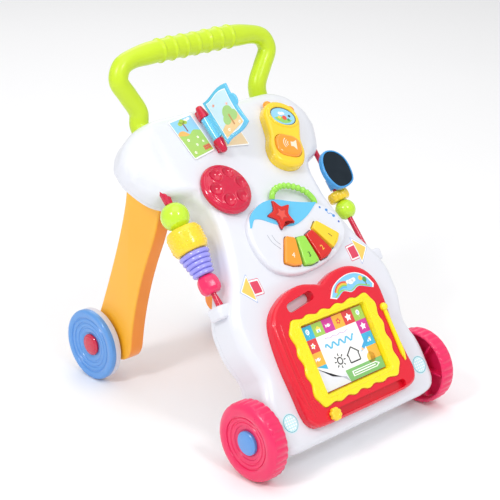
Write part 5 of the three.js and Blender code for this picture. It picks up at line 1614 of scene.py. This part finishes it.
def spine_cap(wide, narrow):
    """A tapered cap along the spine, from its wide end to its rounded tip."""
    way = 1 if narrow > wide else -1
    profile = [
        (PIN_HOLE, wide), (SPINE_CAP_R - 0.8, wide), (SPINE_CAP_R, wide + way * 0.8),
        (SPINE_CAP_R * 0.95, wide + way * 5), (SPINE_CAP_R * 0.62, narrow - way * 2.4),
        (SPINE_CAP_R * 0.5, narrow - way * 0.8), (SPINE_CAP_R * 0.3, narrow), (0, narrow),
        (0, narrow - way * 8), (PIN_HOLE, narrow - way * 8), (PIN_HOLE, wide),
    ]
    cap = in_place(turned(profile, 48), along_up(0, SPINE_OUT))
    heel_middle = wide * 0.58 + narrow * 0.42
    heel = block(SPINE_CAP_R * 0.9, abs(narrow - wide) * 0.72, SPINE_OUT - 3, 0, heel_middle, 3.2)
    bmesh.ops.recalc_face_normals(cap, faces=cap.faces)
    return in_place(gather(cap, heel), Matrix.Translation((SPINE_X, 0, 0)))


for word, wide, narrow in (
    ("top", BOOK_HIGH - SPINE_CAP + GAP, BOOK_HIGH), ("bottom", BOOK_LOW + SPINE_CAP - GAP, BOOK_LOW),
):
    cap = spine_cap(wide, narrow)
    make_piece(cap, f"spine_{word}", "body", "crimson", CRIMSON, [f"book_spine_cap_{word}"], UPPER)

# %% The page
PAGE_WIDTH, PAGE_THICK, PAGE_OPEN = 58, 3.4, 82
page_turn = Matrix.Rotation(-math.radians(PAGE_OPEN), 4, "Y")
page_place = UPPER @ Matrix.Translation((SPINE_X, 0, SPINE_OUT)) @ page_turn


def cubic(start, first, second, end, steps=16):
    points = [Vector(p) for p in (start, first, second, end)]
    line = []
    for t in (k / steps for k in range(1, steps + 1)):
        weights = ((1 - t) ** 3, 3 * t * (1 - t) ** 2, 3 * t * t * (1 - t), t**3)
        line.append(sum((p * w for p, w in zip(points, weights)), Vector((0, 0))))
    return line


def page_outline(inset=0.0):
    """The page from its hinge side round its two wavy edges and its bowed outer edge."""
    near, far, low, high = SPINE_CAP_R + 3 + inset, PAGE_WIDTH - inset, BOOK_LOW + inset, BOOK_HIGH - inset
    line = [Vector((near, low + 4))]
    line += cubic((near, low + 4), (near + 14, low + 9), (far - 18, low - 2), (far, low + 6))
    line += bezier((far, low + 6), (far - 4, (low + high) / 2), (far + 1, high - 6), 16)
    line += cubic((far + 1, high - 6), (far - 18, high + 3), (near + 14, high - 6), (near, high - 2))
    return line


page = plate(page_outline(), -PAGE_THICK / 2, PAGE_THICK / 2, edge=0.9, segments=3, both=True)
tab_half = PAGE_THICK / 2 - 0.1
tab = plate(disc(PAGE_WIDTH - 3.5, 478, 7.5, 40, 1.25), -tab_half, tab_half, 0.8, both=True)
neck = block(10, 32, PAGE_THICK - 0.2, 8.6, (BOOK_LOW + BOOK_HIGH) / 2, 0)
barrel_low, barrel_high = BOOK_LOW + SPINE_CAP, BOOK_HIGH - SPINE_CAP
barrel = turned([
    (PIN_HOLE, barrel_low), (BARREL_R - 0.5, barrel_low), (BARREL_R, barrel_low + 0.5),
    (BARREL_R, barrel_high - 0.5), (BARREL_R - 0.5, barrel_high), (PIN_HOLE, barrel_high),
    (PIN_HOLE, barrel_low),
], 48)
for part in (page, tab, neck):
    bmesh.ops.recalc_face_normals(part, faces=part.faces)
gather(page, tab, neck, in_place(barrel, along_up(0, 0)))
make_piece(page, "blue_page", "page", "sky_blue", SKY, ["book_page"], page_place)

page_picture = [
    (page_outline(4.6), "#ffffff", 0.6), (page_outline(5.6), "#cdeafa", 1),
    (grown([(16, 446), (52, 446), (52, 462), (40, 466), (28, 462), (16, 458)], 0.98), "#f2cf92", 1.6),
    (disc(38, 470, 9, 30, 1.1), "#a5d37a", 2), (disc(32, 464, 7, 26), "#a5d37a", 2.1),
    (disc(44, 463, 7, 26), "#a5d37a", 2.2), (strip([(38, 452), (38, 468)], 2.2), "#c98a4a", 2.6),
]
page_flowers = flower(24, 491, 2.2, "#f08a9a") + flower(44, 480, 2.4, "#f5c0d0")
page_flowers += flower(26, 452, 2.4) + flower(47, 450, 2.2)
page_picture += [(shape, code, layer + 1) for shape, code, layer in page_flowers]
face_up = Print().picture(page_picture, base=PAGE_THICK / 2)
face_down = Print().picture(page_picture, base=PAGE_THICK / 2)
in_place(face_down.bm, Matrix.Diagonal((1, 1, -1, 1)))
bmesh.ops.reverse_faces(face_down.bm, faces=face_down.bm.faces)
page_prints = gather(face_up.bm, face_down.bm)
make_piece(page_prints, "page_pictures", "page", "printed", FILM, ["book_page_print"], page_place, crease=20)

# %% [markdown]
# ## The telephone
# The yellow telephone has a waist between its foot and its head. Its head holds an oval picture under a
# thick rim, two orange knobs stand at its corners, and a big orange button fills its foot.

# %% The telephone's own directions
FOOT_X, FOOT_UP, HEAD_X, HEAD_UP, FOOT_R, HEAD_R, PHONE_TOP = 62, 414, 84, 459, 27, 27.5, 15
phone_lean = math.degrees(math.atan2(HEAD_X - FOOT_X, HEAD_UP - FOOT_UP))
phone_length = math.hypot(HEAD_X - FOOT_X, HEAD_UP - FOOT_UP)


def phone_at(outline):
    return moved(outline, FOOT_X, FOOT_UP, -phone_lean)


half = [
    (0, -FOOT_R), (FOOT_R * 0.75, -FOOT_R * 0.72), (FOOT_R, 0), (FOOT_R * 0.9, phone_length * 0.4),
    (HEAD_R * 0.96, phone_length * 0.8), (HEAD_R, phone_length + 4),
    (HEAD_R * 0.7, phone_length + HEAD_R * 0.78), (0, phone_length + HEAD_R),
]
phone_line = curve_through(phone_at(half + [(-x, y) for x, y in half[-2:0:-1]]), 112, closed=True)
LENS_UP, LENS_X, LENS_Y, LENS_LOW = phone_length + 2, 19.5, 14, 11
BUTTON_UP, BUTTON_X, BUTTON_Y, BUTTON_LOW, BUTTON_TOP = 4, 20, 17, 8.5, 18.5


def lens_outline(grow=0.0):
    return phone_at([(x * (LENS_X + grow), LENS_UP + y * (LENS_Y + grow)) for x, y in disc(0, 0, 1, 64)])


def button_outline(grow=0.0):
    low, high = BUTTON_UP - BUTTON_Y - grow, BUTTON_UP + BUTTON_Y + grow
    return phone_at(rounded_box(-BUTTON_X - grow, low, BUTTON_X + grow, high, 14.5, 14))


phone = subtract(
    plate(phone_line, GAP, PHONE_TOP, edge=6, segments=8),
    plate(button_outline(0.4), 4.8, 20), plate(lens_outline(0.3), LENS_LOW - 0.3, 20),
)
rim_line = [Vector((*p, PHONE_TOP - 0.3)) for p in lens_outline(2.2)]
gather(phone, tube(rim_line, [2.0] * len(rim_line), 6, closed=True))
make_piece(phone, "yellow_phone", "body", "yellow", WARM_YELLOW, ["phone_body"], UPPER, crease=32)

# %% The button, the picture and the knobs
button = plate(button_outline(), BUTTON_LOW, BUTTON_TOP, edge=4.6, segments=8)
make_piece(button, "orange_button", "phone_button", "orange", ORANGE, ["phone_button"], UPPER)
speaker_icon = [
    (phone_at([(2, 1.6), (6, 1.6), (11, -2.6), (11, 13), (6, 8.8), (2, 8.8)]), "#fbe3c8", 1),
] + [
    (phone_at(band(1, 5.2, radius, 1.1, 135, 225, 12)), "#fbe3c8", 1) for radius in (4, 7, 10)
]
icon_print = Print().picture(speaker_icon, base=BUTTON_TOP)
make_piece(icon_print.bm, "button_icon", "phone_button", "printed", FILM, (), UPPER, crease=20)

lens_picture = [
    (lens_outline(), "#24476b", 1), (lens_outline(-1.1), "#8fd0ee", 2),
    (phone_at(curve_through([(-14, LENS_UP - 5), (-4, LENS_UP - 1), (6, LENS_UP - 4), (14, LENS_UP - 3)], 16)
              + curve_through([(10, LENS_UP - 8), (0, LENS_UP - 11), (-10, LENS_UP - 8)], 12)), "#8ccf5a", 3),
    (phone_at(disc(-4, LENS_UP + 4, 3.4, 18, 0.7)), "#ffffff", 3),
    (phone_at(disc(0, LENS_UP + 5, 3, 18, 0.7)), "#ffffff", 3.4),
    (phone_at(disc(2, LENS_UP - 2, 3.6, 20)), "#e5432a", 4),
    (phone_at(disc(8, LENS_UP - 4, 2.2, 16)), "#3f9a3f", 4),
    (phone_at(disc(-6, LENS_UP - 3, 2.4, 16)), "#ffd43a", 4),
    (phone_at(disc(10, LENS_UP + 2.5, 2, 16)), "#26303c", 4),
]
lens_print = Print().picture(lens_picture, base=PHONE_TOP - 0.6)
bmesh.ops.recalc_face_normals(lens_print.bm, faces=lens_print.bm.faces)
make_piece(lens_print.bm, "phone_picture", "body", "printed", FILM, ["phone_lens"], UPPER, crease=20)
for word, across in (("left", -17), ("right", 17)):
    spot = phone_at([(across, phone_length + HEAD_R * 0.72)])[0]
    knob = ball(7, *spot, 8, (1, 1, 1))
    for v in knob.verts:
        v.co.z = 8 + (v.co.z - 8) * 0.8
    make_piece(knob, f"phone_knob_{word}", "body", "orange", ORANGE, (), UPPER)

# %% [markdown]
# ## Beads and the mirror
# Two rods stand in front of the waist. Every bead is turned round its rod: a faceted nut, a ribbed cone, a
# barrel with raised dots and balls. The mirror hangs from a clip on the right rod.

# %% Frames along the rods
ROD_R, NUT_AT, RING_AT = 3.5, 34, 90  # the joints of the nut and of the ring sit this far up their rods


def rod_frame(joint, at):
    """Millimetres across, back and up along a rod, from its lower end."""
    up = axis_of(joint)
    turn = Matrix((ACROSS, up.cross(ACROSS), up)).transposed().to_4x4()
    turn.translation = Vector(JOINTS[joint]["pos_m"]) - up * at * MM
    return turn @ into_metres


LEFT_ROD = rod_frame("nut_pink_spin", NUT_AT)
RIGHT_ROD = rod_frame("ring_yellow_spin", RING_AT)
low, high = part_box("bead_rod_left")
rod_length = math.hypot(high.y - low.y, high.z - low.z) / MM - 2 * ROD_R * 0.68
print("the rods are about", round(rod_length), "mm long")
BEAD_BORE = ROD_R + 0.4


def bead(name, body, slot, finish, profile, base, place, steps=72, shape=None):
    """A bead turned round its rod from (radius, height) points above its base."""
    ring = [(BEAD_BORE, profile[0][1] + base)] + [(r, z + base) for r, z in profile]
    ring += [(BEAD_BORE, profile[-1][1] + base), ring[0]]
    bm = turned(ring, steps)
    if shape:
        bmesh.ops.recalc_face_normals(bm, faces=bm.faces)
        shape(bm)
    return make_piece(bm, name, body, slot, finish, [body], place, crease=40)


def ball_profile(radius):
    start = math.sin(math.radians(64))
    return [
        (radius * math.cos(math.radians(a)), radius * (start + math.sin(math.radians(a))))
        for a in range(-64, 65, 8)
    ]


def facet(bm):
    """Softens the edges of a nut turned in only a few steps."""
    outer = [e for e in bm.edges if all(math.hypot(*v.co.xy) > BEAD_BORE + 2 for v in e.verts)]
    bmesh.ops.bevel(
        bm, geom=outer, offset=0.9, offset_type="OFFSET", segments=3, profile=0.5,
        affect="EDGES", material=-1,
    )


BARREL_BASE, BARREL_WIDE, BARREL_HIGH = 79, 23, 33


STUD_R, STUDS_ROUND, STUD_ROWS, STUD_PITCH = 1.35, 24, 5, 4.2


def stud(bm):
    """Rows of small domes round the barrel."""
    for row in range(STUD_ROWS):
        height = BARREL_BASE + BARREL_HIGH / 2 + (row - STUD_ROWS // 2) * STUD_PITCH
        for k in range(STUDS_ROUND):
            angle = 2 * math.pi * (k + row % 2 / 2) / STUDS_ROUND
            reach = BARREL_WIDE - STUD_R * 0.45
            gather(bm, ball(STUD_R, reach * math.cos(angle), reach * math.sin(angle), height, detail=6))


nut = [(9.4, 0), (12.6, 3.2), (14, 7), (14, 15), (12.8, 20), (9.8, 24)]
cone = [(11.6, 0.2)]
for k in range(5):
    radius, height = 13.0 + 1.45 * k, 0.6 + 6.2 * k
    rib = ((-0.6, 0), (1.0, 1.2), (1.25, 3.4), (0.6, 5.0), (-1.0, 5.8))
    cone += [(radius + out, height + up) for out, up in rib]
cone += [(17.0, 32)]
barrel_shape = [
    (p.x, p.y) for p in curve_through([
        (17.5, 0), (20.2, 1.2), (22.2, 4.6), (23, 9), (23, 24), (22.2, 28.4), (20.2, 31.8), (17.5, 33),
    ], 40)
]
bead("nut", "bead_nut_pink", "pink_wheel", PINK, nut, 22, LEFT_ROD, 8, facet)
bead("cone", "bead_cone_lavender", "lavender", LAVENDER, cone, 46.5, LEFT_ROD)
bead("barrel", "bead_barrel_yellow", "yellow", WARM_YELLOW, barrel_shape, BARREL_BASE, LEFT_ROD, 96, stud)
bead("big_ball", "bead_ball_lime", "lime_handle", LIME_BEAD, ball_profile(18.5), 112.5, LEFT_ROD)
bead("small_ball", "bead_small_ball_lime", "lime_handle", LIME_BEAD, ball_profile(14), 57, RIGHT_ROD)


def scallop(bm):
    for v in bm.verts:
        radius = math.hypot(v.co.x, v.co.y)
        if radius > 11:
            v.co.xy *= 1 - 1.0 * (0.5 + 0.5 * math.cos(10 * math.atan2(v.co.y, v.co.x))) ** 2 / radius


ring_shape = [(10.8, 0), (13.2, 0.7), (14.6, 3), (15, 7), (14.6, 11), (13.2, 13.3), (10.8, 14)]
bead("wavy_ring", "bead_ring_yellow", "yellow", WARM_YELLOW, ring_shape, 82.7, RIGHT_ROD, 120, scallop)

# %% Rods
BLADE_HALF = 2.2
for word, place in (("left", LEFT_ROD), ("right", RIGHT_ROD)):
    rod = turned([(0, 0), (ROD_R - 0.6, 0), (ROD_R, 0.6), (ROD_R, rod_length), (0, rod_length)], 32)
    if word == "left":
        tip = rounded_corners([(-4.5, 147), (5.5, 147), (6.5, 157), (1, 168), (-6, 174)], 0.12)
        foot = rounded_corners([(-3, 21), (3, 21), (5.5, 6), (1, 0.5), (-4, 4)], 0.15)
        blade, barb = (plate(line, -BLADE_HALF, BLADE_HALF, 1.2, both=True) for line in (tip, foot))
        stand = Matrix(((1, 0, 0, 0), (0, 0, -1, 0), (0, 1, 0, 0), (0, 0, 0, 1)))
        bmesh.ops.recalc_face_normals(rod, faces=rod.faces)
        gather(rod, in_place(blade, stand), in_place(barb, stand))
    make_piece(rod, f"rod_{word}", "body", "crimson", CRIMSON, [f"bead_rod_{word}"], place)

# %% The mirror
CLIP_BASE, CLIP_R, CLIP_HIGH = 100.7, 6.5, 16
PLATE_X, PLATE_HALF_X, PLATE_HALF_Z, PLATE_BACK, PLATE_THICK = -3, 25, 31, 17, 8
PLATE_Z = CLIP_BASE + 20
face_forward = Matrix(((1, 0, 0, 0), (0, 0, -1, 0), (0, 1, 0, 0), (0, 0, 0, 1)))


def mirror_outline(inset=0.0):
    a, b = PLATE_HALF_X - inset, PLATE_HALF_Z - inset
    spots = (
        (-0.8, 0.5), (-0.3, 0.9), (0.4, 0.86), (0.9, 0.48), (1, -0.1), (0.78, -0.66),
        (0.1, -0.88), (-0.55, -0.8), (-0.93, -0.2),
    )
    return curve_through([(PLATE_X + u * a, PLATE_Z + v * b) for u, v in spots], 96, closed=True)


front = PLATE_BACK + PLATE_THICK
frame_plate = plate(mirror_outline(), PLATE_BACK, front, edge=1.8, segments=5, both=True)
holder = subtract(frame_plate, plate(mirror_outline(2.6), front - 1.8, front + 4))
in_place(holder, face_forward)
clip = turned([
    (BEAD_BORE, CLIP_BASE), (CLIP_R, CLIP_BASE), (CLIP_R, CLIP_BASE + CLIP_HIGH),
    (BEAD_BORE, CLIP_BASE + CLIP_HIGH), (BEAD_BORE, CLIP_BASE),
], 40)
bmesh.ops.recalc_face_normals(clip, faces=clip.faces)
arm_length, arm_back = PLATE_BACK - CLIP_R + 3, -(PLATE_BACK + CLIP_R - 1) / 2
arm = block(8, arm_length, CLIP_HIGH, 0, arm_back, CLIP_BASE + CLIP_HIGH / 2)
gather(holder, clip, arm)
make_piece(holder, "mirror_holder", "mirror", "sky_blue", MIRROR_BLUE, ["mirror_frame"], RIGHT_ROD)
glass = in_place(plate(mirror_outline(2.9), front - 2.3, front - 0.7, edge=0.5, segments=2), face_forward)
make_piece(glass, "dark_glass", "mirror", "mirror", MIRROR, ["mirror_glass"], RIGHT_ROD)
